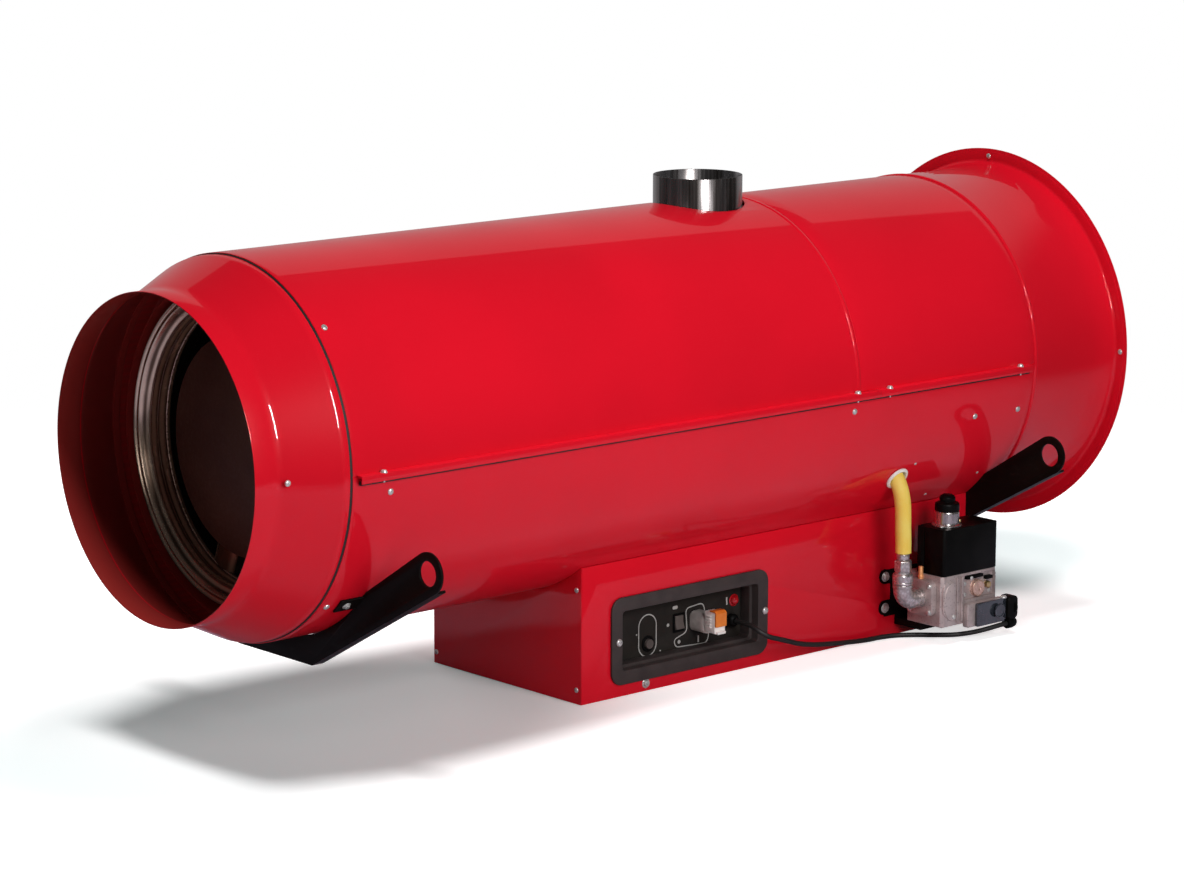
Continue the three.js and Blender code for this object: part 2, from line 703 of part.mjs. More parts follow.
const spiderReach = reachInside(exchanger.innerRadius * Math.cos(Math.PI / sides.drum), spider.legWidth);
const spiderAngles = spider.legs.map(THREE.MathUtils.degToRad);

// A band round the chamber with legs that centre it in the exchanger
function chamberSpider() {
  const x = frontX + spider.setback;
  const inner = chamber.radius + fit;
  const band = ring(x, x + spider.length, inner, inner + spider.strap, sides.drum);
  const legs = spiderAngles.map((angle) => radialBlock(
    x, x + spider.length, angle, inner + spider.strap / 2, spiderReach, spider.legWidth,
  ));
  return joined([band, ...legs]);
}

// The burner: a plate that closes the chamber, a body behind it, and a tube with its head in front
const plateX = chamberRear + fit;
const tubeX = plateX - burner.tubeReach;
const burnerX = plateX + burnerPlate.thickness + fit;
const blowerX = burnerX + burner.length + fit;
const bossX = burnerX + burner.bossX;
const bossOut = radialOut(burner.bossAngle);
const bossReach = burner.barrelRadius + burner.bossHeight;
const boreReach = burner.bore * Math.cos(Math.PI / sides.round) - fit;

function burnerPlatePiece() {
  const rear = plateX + burnerPlate.thickness;
  const reach = reachInside(exchanger.innerRadius * Math.cos(Math.PI / sides.drum), burnerPlate.earWidth);
  const disk = ring(plateX, rear, burnerPlate.hole, burnerPlate.radius, sides.drum);
  const ears = spiderAngles.map((angle) => radialBlock(
    plateX, rear, angle, chamber.radius, reach, burnerPlate.earWidth,
  ));
  return joined([disk, ...ears]);
}

function burnerBody() {
  const flangeX = burnerX + burner.flangeThickness;
  const rear = burnerX + burner.length;
  const shell = revolved([
    [burnerX, burner.bore], [burnerX, burner.flangeRadius], [flangeX, burner.flangeRadius],
    [flangeX, burner.barrelRadius], [rear, burner.barrelRadius], [rear, burner.bore],
    [burnerX, burner.bore],
  ], sides.round);
  const at = new THREE.Vector3(bossX, 0, 0);
  const start = at.clone().addScaledVector(bossOut, burner.bore + fit);
  const boss = rod(start, bossOut, burner.bossRadius, bossReach - burner.bore - fit, sides.pipe);
  return shell.add(boss).subtract(rod(at, bossOut, gasLine.bore, bossReach + overrun, sides.pipe));
}

function burnerTube() {
  const inner = burner.tubeRadius - burner.tubeWall;
  const headX = tubeX + burner.diffuserSetback;
  const rear = plateX + burnerPlate.thickness;
  const shell = ring(tubeX, rear, inner, burner.tubeRadius, sides.round);
  const head = ring(
    headX, headX + burner.diffuser, burner.diffuserHole, inner + burner.tubeWall / 2, sides.round,
  );
  const slots = Array.from({ length: burner.slots }, (_, i) => {
    const [y, z] = around(burner.slotCircle, (i * Math.PI * 2) / burner.slots);
    const at = new THREE.Vector3(headX - overrun, y, z);
    return rod(at, xAxis, burner.slotRadius, burner.diffuser + overrun * 2, sides.hex);
  });
  return cut(shell.add(head), slots);
}

// The gas nozzle stands on its feed pipe, which comes in through the burner's boss
function gasNozzle() {
  const rear = bossX + nozzle.reach;
  const barrel = disc(rear - nozzle.length, rear, nozzle.radius, sides.small);
  const feed = rod(new THREE.Vector3(bossX, 0, 0), bossOut, gasLine.bore - fit, bossReach - fit, sides.pipe);
  return barrel.add(feed);
}

// Two electrodes in a clamp that spans the burner's bore behind the feed pipe
function ignitionElectrodes() {
  const x = bossX + electrode.setback;
  const low = electrode.rise - electrode.clamp / 2;
  const high = electrode.rise + electrode.clamp / 2;
  const span = Math.sqrt(boreReach ** 2 - high ** 2);
  const rods = [-1, 1].flatMap((side) => {
    const at = new THREE.Vector3(x - electrode.length, side * electrode.spread, electrode.rise);
    const tip = at.clone().addScaledVector(xAxis, -electrode.tip);
    return [
      rod(at, xAxis, electrode.radius, electrode.length + electrode.clamp, sides.small),
      rod(tip, xAxis, electrode.tipRadius, electrode.tip + electrode.clamp, sides.small),
    ];
  });
  return joined([block(x, x + electrode.clamp, -span, span, low, high), ...rods]);
}

// The burner's blower: a round housing over a throat that opens into the burner body
function scrollOutline(inset) {
  const radius = blower.scrollRadius - inset;
  const half = blower.throat - inset;
  const start = Math.acos(half / radius);
  return [
    [half, inset - blower.drop], ...arc([0, blower.rise], radius, -start, Math.PI + start, sides.round),
    [-half, inset - blower.drop],
  ];
}

function blowerHousing() {
  const shell = prism(scrollOutline(0), alongX, blowerX, blower.depth);
  const hollow = prism(
    scrollOutline(blower.wall), alongX, blowerX + blower.wall, blower.depth - blower.wall * 2,
  );
  const through = blower.wall + overrun * 2;
  const outletAt = new THREE.Vector3(blowerX - overrun, 0, 0);
  const shaftAt = new THREE.Vector3(blowerX - overrun, 0, blower.rise);
  const inletAt = new THREE.Vector3(blowerX + blower.depth - blower.wall - overrun, 0, blower.rise);
  return cut(shell, [
    hollow,
    rod(outletAt, xAxis, blower.outlet, through, sides.round),
    rod(shaftAt, xAxis, blower.shaftHole, through, sides.small),
    rod(inletAt, xAxis, blower.inlet, through, sides.round),
  ]);
}

function blowerMotor() {
  const at = new THREE.Vector3(blowerX - fit - blower.motorLength, 0, blower.rise);
  const shell = rod(at, xAxis, blower.motorRadius, blower.motorLength, sides.round);
  const bore = blower.shaftRadius + blower.shaftClearance;
  const boreAt = new THREE.Vector3(blowerX - fit - blower.shaftReach, 0, blower.rise);
  return shell.subtract(rod(boreAt, xAxis, bore, blower.shaftReach + overrun, sides.small));
}

function blowerWheel() {
  const x0 = blowerX + blower.wheelInset;
  const at = new THREE.Vector3(x0, 0, blower.rise);
  const back = rod(at, xAxis, blower.wheelRadius, blower.backPlate, sides.round);
  const hub = rod(at, xAxis, blower.hubRadius, blower.wheelDepth / 2, sides.small);
  const shaftAt = new THREE.Vector3(blowerX - blower.shaftReach, 0, blower.rise);
  const shaft = rod(
    shaftAt, xAxis, blower.shaftRadius, blower.shaftReach + blower.wheelInset + blower.backPlate, sides.small,
  );
  const vanes = Array.from({ length: blower.blades }, (_, i) => {
    const geometry = new THREE.BoxGeometry(blower.wheelDepth, blower.bladeDepth, blower.bladeThickness);
    const middle = blower.wheelRadius - fit - blower.bladeDepth / 2;
    geometry.translate(x0 + blower.wheelDepth / 2, middle, 0);
    geometry.rotateX((i * Math.PI * 2) / blower.blades);
    geometry.translate(0, 0, blower.rise);
    return solidOf(geometry);
  });
  const rimAt = new THREE.Vector3(x0 + blower.wheelDepth - blower.backPlate, 0, blower.rise);
  const rimBore = blower.wheelRadius - blower.bladeDepth / 2;
  const rim = tube(rimAt, xAxis, rimBore, blower.wheelRadius, blower.backPlate, sides.round);
  return joined([back, hub, shaft, ...vanes, rim]);
}

// Hanging bracket: a plate across the body with an arm each side and a flange along its lower edges
function bracketOutline() {
  const hole = [bracket.holeY, -bracket.holeDrop];
  const vertex = [bracket.vertexY, -bracket.bottomDrop];
  const toHole = Math.hypot(hole[0] - vertex[0], hole[1] - vertex[1]);
  const slope = Math.atan2(hole[1] - vertex[1], hole[0] - vertex[0]) - Math.asin(bracket.endRadius / toHole);
  const rootRadius = body.radius + fit;
  const rootAngle = -Math.acos(bracket.rootY / rootRadius);
  const root = [bracket.rootY, rootRadius * Math.sin(rootAngle)];
  const toRoot = Math.hypot(hole[0] - root[0], hole[1] - root[1]);
  const upper = Math.atan2(hole[1] - root[1], hole[0] - root[0]) + Math.asin(bracket.endRadius / toRoot);
  const end = arc(hole, bracket.endRadius, slope - Math.PI / 2, upper + Math.PI / 2, sides.small);
  const right = [vertex, ...end, root];
  const left = right.map(([y, z]) => [-y, z]).reverse();
  const top = arc([0, 0], rootRadius, rootAngle, -Math.PI - rootAngle, sides.body / 2).slice(1, -1);
  return { outline: [...right, ...top, ...left], slope, vertex, tip: end[0] };
}

function hangingBracket(x, tabX, tabLength) {
  const { outline, slope, vertex, tip } = bracketOutline();
  const thick = bracket.thickness;
  const holes = [-1, 1].map((side) => {
    const at = new THREE.Vector3(x - overrun, side * bracket.holeY, -bracket.holeDrop);
    return rod(at, xAxis, bracket.holeRadius, thick + overrun * 2, sides.pipe);
  });
  const lift = [-thick * Math.sin(slope), thick * Math.cos(slope)];
  const flanges = [-1, 1].map((side) => prism([
    [side * vertex[0], vertex[1]], [side * tip[0], tip[1]],
    [side * (tip[0] + lift[0]), tip[1] + lift[1]], [side * (vertex[0] + lift[0]), vertex[1] + lift[1]],
  ], alongX, x, bracket.flange));
  const inner = body.radius + fit;
  const tabs = [-1, 1].map((side) => {
    const middle = side < 0 ? -Math.PI - bracket.tabAngle : bracket.tabAngle;
    const [from, to] = [middle - bracket.tabHalf, middle + bracket.tabHalf];
    return prism([
      ...arc([0, 0], inner + bracket.tabThickness, from, to, sides.wire),
      ...arc([0, 0], inner, to, from, sides.wire),
    ], alongX, tabX, tabLength);
  });
  return joined([cut(prism(outline, alongX, x, thick), holes), ...flanges, ...tabs]);
}

const frontBracketX = frontX + bracket.setback;
const rearBracketX = box.length / 2 + fit;

function frontBracket() {
  return hangingBracket(frontBracketX, frontBracketX - bracket.frontTab, bracket.frontTab + weld);
}

function rearBracket() {
  const tabX = rearBracketX + bracket.thickness - weld;
  return hangingBracket(rearBracketX, tabX, bracket.rearTab);
}

// The control box: a folded pan, closed by two end panels and by the body above it
const panEnd = box.length / 2 - sheet - fit;
const wallTop = axisHeight - Math.sqrt(saddleRadius ** 2 - (box.width / 2 - sheet) ** 2);
const tubLength = bezel.length - bezel.border * 2;
const tubHeight = bezel.height - bezel.border * 2;

function tubOutline(grow) {
  return roundedRectangle(
    0, bezel.z, tubLength + grow * 2, tubHeight + grow * 2, bezel.tubCorner + Math.max(grow, 0),
    sides.corner,
  );
}

function boxPan() {
  const half = box.width / 2;
  const trough = prism([
    [-half, 0], [half, 0], [half, wallTop], [half - sheet, wallTop], [half - sheet, pan.floor],
    [sheet - half, pan.floor], [sheet - half, wallTop], [-half, wallTop],
  ], alongX, -panEnd, panEnd * 2);
  const flanges = [-1, 1].flatMap((end) => [-1, 1].map((side) => {
    const outer = side * (half - sheet / 2);
    const inner = side * (half - sheet - pan.endFlange);
    const x0 = end < 0 ? -panEnd : panEnd - sheet;
    return block(x0, x0 + sheet, Math.min(outer, inner), Math.max(outer, inner), pan.floor / 2, wallTop);
  }));
  const window = prism(tubOutline(bezel.wall + fit), alongY, half - sheet - overrun, sheet + overrun * 2)
    .translate([panelX, 0, 0]);
  const saddle = disc(-panEnd - overrun, panEnd + overrun, saddleRadius, sides.body)
    .translate([0, 0, axisHeight]);
  return cut(joined([trough, ...flanges]), [window, saddle]);
}

function endPanel(x) {
  const half = box.width / 2;
  const reach = Math.asin(half / saddleRadius);
  const centre = [0, axisHeight];
  const down = Math.PI / 2;
  const top = arc(centre, saddleRadius, reach - down, -reach - down, sides.body / 2).slice(1, -1);
  return prism([[-half, 0], [half, 0], [half, box.height], ...top, [-half, box.height]], alongX, x, sheet);
}

// The control panel: a frame with a stepped well, and a plate at its bottom
function controlBezel() {
  const face = bezel.proud - boxFaceY;
  const rear = bezel.depth + plate.thickness + plate.recess + bezel.ledge;
  const outline = roundedRectangle(0, bezel.z, bezel.length, bezel.height, bezel.corner, sides.wire * 2);
  const frame = prism(outline, alongY, face - bezel.proud + fit, bezel.proud - fit, [tubOutline(0)]);
  const wall = prism(tubOutline(bezel.wall), alongY, face - rear, rear, [tubOutline(0)]);
  const narrow = tubOutline(-bezel.step);
  const step = prism(
    tubOutline(0), alongY, face - bezel.depth + fit, bezel.depth - bezel.stepDepth - fit, [narrow],
  );
  const ledge = prism(tubOutline(0), alongY, face - rear, bezel.ledge, [narrow]);
  return joined([frame, wall, step, ledge]);
}

const outward = yAxis.clone().negate();
const plateBackY = plateY + plate.thickness;

function controlPlate() {
  const solid = prism(tubOutline(-fit * 2), alongY, -plateBackY, plate.thickness);
  const through = ({ x, z }, radius) => rod(
    new THREE.Vector3(x, plateY - overrun, z), yAxis, radius + fit, plate.thickness + overrun * 2, sides.pipe,
  );
  const halfWidth = rocker.width / 2 - rocker.rim + fit;
  const halfHeight = rocker.height / 2 - rocker.rim + fit;
  return cut(solid, [
    block(
      rocker.x - halfWidth, rocker.x + halfWidth, plateY - overrun, plateBackY + overrun,
      rocker.z - halfHeight, rocker.z + halfHeight,
    ),
    through(button, button.radius), through(lamp, lamp.radius), through(gland, gland.nut),
    through(socket, plug.neckRadius),
  ]);
}

// The limit thermostat behind the plate, and the button that resets it
const buttonSeat = button.bodyLength / 3;

function limitThermostat() {
  const at = new THREE.Vector3(button.x, plateBackY + fit, button.z);
  const bore = rod(
    at.clone().addScaledVector(yAxis, -overrun), yAxis, button.radius + fit,
    overrun + buttonSeat + button.travel + fit, sides.pipe,
  );
  return rod(at, yAxis, button.bodyRadius, button.bodyLength, sides.pipe).subtract(bore);
}

function resetButton() {
  const at = new THREE.Vector3(button.x, plateY - button.proud, button.z);
  return rod(at, yAxis, button.radius - fit, button.proud + plate.thickness + buttonSeat, sides.pipe);
}

// The rocker switch: a frame with a well, and a cap that rocks on a cross line just behind the plate
const rockerPivotY = plateY + rocker.clearance;
const rockerHalf = [rocker.width / 2 - rocker.rim, rocker.height / 2 - rocker.rim];

function rockerOutline(inset) {
  const [halfWidth, halfHeight] = rockerHalf;
  return rectangle(
    rocker.x - halfWidth + inset, rocker.x + halfWidth - inset,
    rocker.z - halfHeight + inset, rocker.z + halfHeight - inset,
  );
}

function rockerFrame() {
  const wall = rocker.rim / 2;
  const outer = roundedRectangle(rocker.x, rocker.z, rocker.width, rocker.height, rocker.rim, sides.corner);
  const back = -plateY - rocker.bodyDepth;
  return joined([
    prism(outer, alongY, fit - plateY, rocker.proud, [rockerOutline(wall)]),
    prism(rockerOutline(0), alongY, back, rocker.bodyDepth + rocker.proud / 2, [rockerOutline(wall)]),
    prism(rockerOutline(0), alongY, back, rocker.rim),
  ]);
}

function rockerCap() {
  const halfWidth = rockerHalf[0] - rocker.rim / 2 - fit;
  const halfHeight = rockerHalf[1] - rocker.rim / 2 - rocker.clearance;
  const dip = halfHeight * Math.tan(rocker.tilt);
  const face = -rocker.proud - rocker.capProud - rocker.clearance;
  const turn = new THREE.Matrix4().makeRotationX(-rocker.tilt).setPosition(0, rockerPivotY, rocker.z);
  const outline = [
    [face + dip, -halfHeight], [face + dip * 2, 0], [face + dip, halfHeight],
    ...arc([0, 0], halfHeight, Math.PI / 2, -Math.PI / 2, sides.wire * 2),
  ];
  return prism(outline, turn.multiply(alongX), rocker.x - halfWidth, halfWidth * 2);
}

// The room thermostat's plug in its socket, with a latch over its end
function thermostatSocket() {
  const line = roundedRectangle(socket.x, socket.z, socket.width, socket.height, socket.corner, sides.wire);
  const solid = prism(line, alongY, fit - plateY, socket.depth);
  const tail = rod(
    new THREE.Vector3(socket.x, plateY - fit * 2, socket.z), yAxis, plug.neckRadius,
    plate.thickness + socket.corner, sides.pipe,
  );
  const mouth = new THREE.Vector3(socket.x, plateY - fit - socket.depth - overrun, socket.z);
  return solid.add(tail).subtract(rod(mouth, yAxis, socket.bore, socket.boreDepth + overrun, sides.pipe));
}

const plugBackY = plateY - fit - socket.depth - plug.gap;
const plugEndY = plugBackY - plug.depth;

function thermostatPlug() {
  const line = roundedRectangle(plug.x, plug.z, plug.width, plug.height, plug.corner, sides.corner);
  const pins = rod(
    new THREE.Vector3(socket.x, plugBackY - fit, socket.z), yAxis, socket.bore - fit * 2,
    plug.pinLength, sides.pipe,
  );
  const half = plug.width / 2 - plug.corner;
  const low = plug.z - plug.height / 2;
  const lip = block(
    plug.x - half, plug.x + half, plugEndY - plug.lip, plugEndY + plug.lip, low, low + plug.lipThickness,
  );
  return joined([prism(line, alongY, -plugBackY, plug.depth), pins, lip]);
}

function plugLatch() {
  const endY = plugEndY - fit;
  const armZ = plug.z + plug.height / 2 + fit;
  const top = armZ + plug.latchRise;
  const low = top - plug.latchHeight;
  const half = plug.latchWidth / 2;
  return prism([
    [endY, low], [endY, armZ], [endY + plug.latchArm, armZ], [endY + plug.latchArm, top - fit],
    [endY, top], [endY - plug.latchDepth, top - plug.latchDepth], [endY - plug.latchDepth, low],
  ], alongX, plug.x - half, half * 2);
}

function pilotLamp() {
  const at = new THREE.Vector3(lamp.x, plateBackY + lamp.bodyLength, lamp.z);
  const inner = lamp.radius - fit;
  const collarBack = plate.thickness + lamp.bodyLength + fit;
  const collarFront = collarBack + lamp.collarProud;
  const dome = arc([0, collarFront], 1, 0, Math.PI / 2, sides.wire).map(([share, height]) => (
    [inner * share, collarFront + (height - collarFront) * lamp.proud]
  ));
  return turned([
    [0, 0], [inner, 0], [inner, collarBack], [lamp.collar, collarBack], [lamp.collar, collarFront], ...dome,
  ], at, outward, sides.pipe);
}

function cableGland() {
  const at = new THREE.Vector3(gland.x, plateBackY + gland.tail, gland.z);
  const inner = gland.nut - fit;
  const back = plate.thickness + gland.tail;
  return turned([
    [gland.bore, 0], [inner, 0], [inner, back + fit], [gland.radius, back + fit],
    [gland.radius, back + gland.nutLength], [inner, back + gland.proud],
    [gland.bore, back + gland.proud], [gland.bore, 0],
  ], at, outward, sides.pipe);
}

// The control cable's route: out of its gland, down the box's side, along the floor to the switch's plug.
// It is stretched so that its ends meet the two glands.
const cableRoute = [
  [-86.6, -165.3, 77.6], [-86.6, -183, 77.6], [-86.8, -203, 76], [-85, -219.5, 69.8], [-72.5, -229.2, 60.6],
  [-51, -230, 53.2], [-22, -225.5, 43.6], [6, -220, 34.2], [40, -214, 25.6], [74, -209, 19.4],
  [120, -203, 12.8], [160, -199, 7.8], [196, -197, 4.8], [228, -198.5, 4.5], [258, -207, 4.5],
  [286, -226, 4.5], [311, -249, 4.5], [336, -271, 5.2], [360, -289, 8.6], [383, -302, 13.4],
  [403, -309.5, 17.4], [414, -310.9, 18.4], [423.6, -311, 18.5],
];


// Electrics on the box's floor
function deviceBlock({ x, y, length, width, height }) {
  const low = pan.floor + fit;
  return block(x - length / 2, x + length / 2, y - width / 2, y + width / 2, low, low + height);
}

function flameController() {
  const top = pan.floor + fit + controller.height;
  const half = controller.length / 2 - controller.lidInset;
  const depth = controller.width / 2 - controller.lidInset;
  return deviceBlock(controller).add(block(
    controller.x - half, controller.x + half, controller.y - depth, controller.y + depth,
    top - controller.lid, top + controller.lid,
  ));
}

function ignitionTransformer() {
  const top = pan.floor + fit + igniter.height;
  const posts = [-1, 1].map((side) => rod(
    new THREE.Vector3(igniter.x + (side * igniter.length) / 4, igniter.y, top - igniter.post), zAxis,
    igniter.post, igniter.postHeight + igniter.post, sides.small,
  ));
  return joined([deviceBlock(igniter), ...posts]);
}

// The gas valve and what is on it, in the valve's frame: its left rear lower corner is the origin
function valveBody() {
  const near = valve.chamfer - valve.depth;
  const right = valve.length - valve.chamfer;
  const solid = prism([
    [valve.chamfer, 0], [right, 0], [valve.length, -valve.chamfer], [valve.length, near],
    [right, -valve.depth], [valve.chamfer, -valve.depth], [0, near], [0, -valve.chamfer],
  ], alongZ, 0, valve.height);
  const pad = roundedRectangle(
    valve.padInset, valve.padRise, valve.padLength, valve.padHeight, valve.padLength / 2 - fit, sides.wire,
  );
  return solid.add(prism(pad, alongY, valve.depth - valve.chamfer, valve.chamfer + valve.padDepth));
}

function portFlange(side) {
  const line = roundedRectangle(-port.inset, port.rise, port.width, port.height, port.corner, sides.wire);
  const x = side < 0 ? -fit - port.thickness : valve.length + fit;
  const mouthX = side < 0 ? x - overrun : x + port.thickness + overrun;
  const mouth = new THREE.Vector3(mouthX, -port.inset, port.rise);
  const inward = xAxis.clone().multiplyScalar(-side);
  return prism(line, alongX, x, port.thickness)
    .subtract(rod(mouth, inward, port.bore, port.boreDepth + overrun, sides.pipe));
}

const coverX = coverBox.inset + coverBox.length / 2;
const coverY = -coverBox.back - coverBox.depth / 2;
const coverZ = valve.height + fit;

function coilCover() {
  const inset = coverBox.wall * 2;
  const line = (length, depth) => (
    roundedRectangle(coverX, coverY, length, depth, coverBox.corner, sides.corner)
  );
  const hollowHeight = coverBox.height - coverBox.wall + overrun;
  return prism(line(coverBox.length, coverBox.depth), alongZ, coverZ, coverBox.height).subtract(
    prism(line(coverBox.length - inset, coverBox.depth - inset), alongZ, coverZ - overrun, hollowHeight),
  );
}

function solenoidCoils() {
  const half = coil.spacing / 2;
  const coils = [-1, 1].map((side) => rod(
    new THREE.Vector3(coverX + side * half, coverY, coverZ), zAxis, coil.radius, coil.height, sides.pipe,
  ));
  const yoke = block(
    coverX - half - coil.radius, coverX + half + coil.radius, coverY - coil.radius, coverY + coil.radius,
    coverZ, coverZ + coil.yoke,
  );
  return joined([yoke, ...coils]);
}

function damperCylinder() {
  const at = new THREE.Vector3(damper.x, coverY, coverZ + coverBox.height + fit);
  const tip = damper.height + damper.spindleHeight;
  return turned([
    [0, 0], [damper.skirtRadius, 0], [damper.skirtRadius, damper.skirtHeight / 2],
    [damper.radius, damper.skirtHeight], [damper.radius, damper.height], [damper.spindle, damper.height],
    [damper.spindle, tip], [0, tip],
  ], at, zAxis, sides.round);
}

function damperCap() {
  const at = new THREE.Vector3(damper.x, coverY, coverZ + coverBox.height + fit * 2 + damper.height);
  const bore = damper.spindle + fit * 2;
  const ceiling = damper.spindleHeight + fit * 2;
  const crownAt = [cap.upperRadius - cap.crown, cap.height - cap.crown];
  const crown = arc(crownAt, cap.crown, 0, Math.PI / 2, sides.wire);
  return turned([
    [bore, 0], [cap.radius - fit, 0], [cap.radius + fit, cap.lower / 2], [cap.radius - fit, cap.lower],
    [cap.upperRadius, cap.shoulder], ...crown, [0, cap.height], [0, ceiling], [bore, ceiling], [bore, 0],
  ], at, zAxis, sides.round);
}

// The pressure switch on the valve's near face
const switchEndX = pressureSwitch.x + pressureSwitch.length;
const lensBack = valve.depth + fit + pressureSwitch.depth + fit;
const switchNut = new THREE.Vector3(
  switchEndX + fit + pressureSwitch.plugLength - pressureSwitch.glandLength, pressureSwitch.glandY,
  pressureSwitch.z - pressureSwitch.glandDrop,
);

function switchOutline(x0, inset, corner) {
  const length = switchEndX - x0;
  return roundedRectangle(
    x0 + length / 2, pressureSwitch.z + pressureSwitch.height / 2, length - inset * 2,
    pressureSwitch.height - inset * 2, corner, sides.corner,
  );
}

function switchBase() {
  const line = switchOutline(pressureSwitch.x, 0, pressureSwitch.corner);
  return prism(line, alongY, valve.depth + fit, pressureSwitch.depth);
}

function switchCover() {
  const line = switchOutline(pressureSwitch.lensX, 0, pressureSwitch.corner);
  const inner = switchOutline(pressureSwitch.lensX, pressureSwitch.lensWall, pressureSwitch.lensWall);
  const hollowDepth = overrun + pressureSwitch.lens - pressureSwitch.lensWall;
  return prism(line, alongY, lensBack, pressureSwitch.lens)
    .subtract(prism(inner, alongY, lensBack - overrun, hollowDepth));
}

function switchPlug() {
  const { plugLength, plugDepth, plugCorner, height, z } = pressureSwitch;
  const line = roundedRectangle(
    switchEndX + fit + plugLength / 2, -valve.depth - fit - plugDepth / 2, plugLength, plugDepth,
    plugCorner, sides.wire,
  );
  const radius = pressureSwitch.glandRadius;
  const length = pressureSwitch.glandLength;
  const nut = turned([
    [0, 0], [radius - fit, 0], [radius, fit * 2], [radius, length - radius / 2], [radius / 2, length],
    [0, length],
  ], switchNut, xAxis, sides.pipe);
  return prism(line, alongZ, z, height).add(nut);
}

function cablePoints() {
  const points = cableRoute.map(([x, y, z]) => new THREE.Vector3(x, y, z));
  const start = new THREE.Vector3(panelX + gland.x, plateY - gland.proud - fit, gland.z);
  const end = new THREE.Vector3(valveX - cable.endGap, valveY, valve.floorGap).add(switchNut);
  const startShift = start.sub(points[0]);
  const endShift = end.sub(points[points.length - 1]);
  return points.map((point, i) => {
    const share = i / (points.length - 1);
    return point.clone().addScaledVector(startShift, 1 - share).addScaledVector(endShift, share);
  });
}

function controlCable() {
  return swept(cablePoints(), cable.radius, cable.steps, sides.cord);
}

// Fittings from the valve's outlet up to the hose
function gasElbow() {
  const faceX = -fit * 2 - port.thickness;
  const legX = elbow.x + elbow.bend;
  const start = new THREE.Vector3(faceX, -port.inset, port.rise);
  const top = new THREE.Vector3(elbow.x, -port.inset, port.rise + elbow.bend + elbow.leg);
  const corner = arc([legX, port.rise + elbow.bend], elbow.bend, -Math.PI / 2, -Math.PI, sides.wire);
  const inset = elbow.collarLength / 2;
  const path = [
    start.clone().addScaledVector(xAxis, -inset),
    ...corner.map(([x, z]) => new THREE.Vector3(x, -port.inset, z)),
    top.clone().addScaledVector(zAxis, -inset),
  ];
  return joined([
    swept(path, elbow.radius, sides.small, sides.pipe),
    rod(start, xAxis.clone().negate(), elbow.collarRadius, elbow.collarLength, sides.pipe),
    rod(top, zAxis.clone().negate(), elbow.collarRadius, elbow.collarLength, sides.pipe),
  ]);
}

const unionZ = port.rise + elbow.bend + elbow.leg + fit;
const waistZ = union.collarHeight + union.waistHeight;
const neckZ = waistZ + union.ringHeight + union.neckHeight;

function hoseUnion() {
  const at = new THREE.Vector3(elbow.x, -port.inset, unionZ);
  const hex = rod(at, zAxis, union.collar, union.collarHeight, sides.hex);
  const rest = turned([
    [0, 0], [union.waist, 0], [union.waist, waistZ], [union.ring, waistZ],
    [union.ring, waistZ + union.ringHeight], [union.neck, waistZ + union.ringHeight],
    [union.neck, neckZ + union.barb], [0, neckZ + union.barb],
  ], at, zAxis, sides.pipe);
  return hex.add(rest);
}

// The hose rises from the union, leans out and turns in through the grommet.
// Rows are shares of the rise, of the lean and of the way along the tunnel.
const hoseShares = [
  [0, 0, 0], [0.1, 0, 0], [0.31, 0.3, 0.06], [0.55, 0.8, 0.2], [0.69, 1, 0.34], [0.82, 0.81, 0.57],
];

function hosePoints() {
  const base = new THREE.Vector3(
    valveX + elbow.x, valveY - port.inset, valve.floorGap + unionZ + neckZ + fit,
  );
  const through = hosePlace.clone().add(new THREE.Vector3(0, 0, axisHeight));
  const leanY = through.y - hose.lean;
  const outside = hoseShares.map(([riseShare, leanShare, alongShare]) => new THREE.Vector3(
    base.x + (through.x - base.x) * alongShare,
    base.y + (leanY - base.y) * leanShare,
    base.z + (through.z - base.z) * riseShare,
  ));
  const straight = [hose.lead, 0, -hose.tail / 2, -hose.tail];
  return [...outside, ...straight.map((reach) => through.clone().addScaledVector(hoseOut, reach))];
}

function gasHose() {
  return swept(hosePoints(), hose.radius, hose.steps, sides.pipe, hose.bore);
}

function hoseGrommet() {
  const rim = grommet.thickness * grommet.rimShare;
  return turned([
    [grommet.bore, -grommet.neckDepth], [grommet.neck, -grommet.neckDepth], [grommet.neck, fit],
    [grommet.radius, fit], [grommet.radius, rim], [grommet.radius - rim, grommet.thickness],
    [grommet.bore, grommet.thickness], [grommet.bore, -grommet.neckDepth],
  ], hosePlace, hoseOut, sides.pipe);
}

// The pipe from the hose's end to the burner's boss, inside the tunnel
function gasPipe() {
  const last = hosePoints().pop();
  const start = last.addScaledVector(hoseOut, -fit * 2).add(new THREE.Vector3(0, 0, -axisHeight));
  const end = new THREE.Vector3(bossX, 0, 0).addScaledVector(bossOut, bossReach + fit);
  const afterHose = start.clone().addScaledVector(hoseOut, -gasLine.lead);
  const beforeBoss = end.clone().addScaledVector(bossOut, gasLine.lead);
  const route = [start, afterHose, beforeBoss.clone().lerp(afterHose, halfShare), beforeBoss, end];
  return swept(route, gasLine.radius, gasLine.steps, sides.small);
}

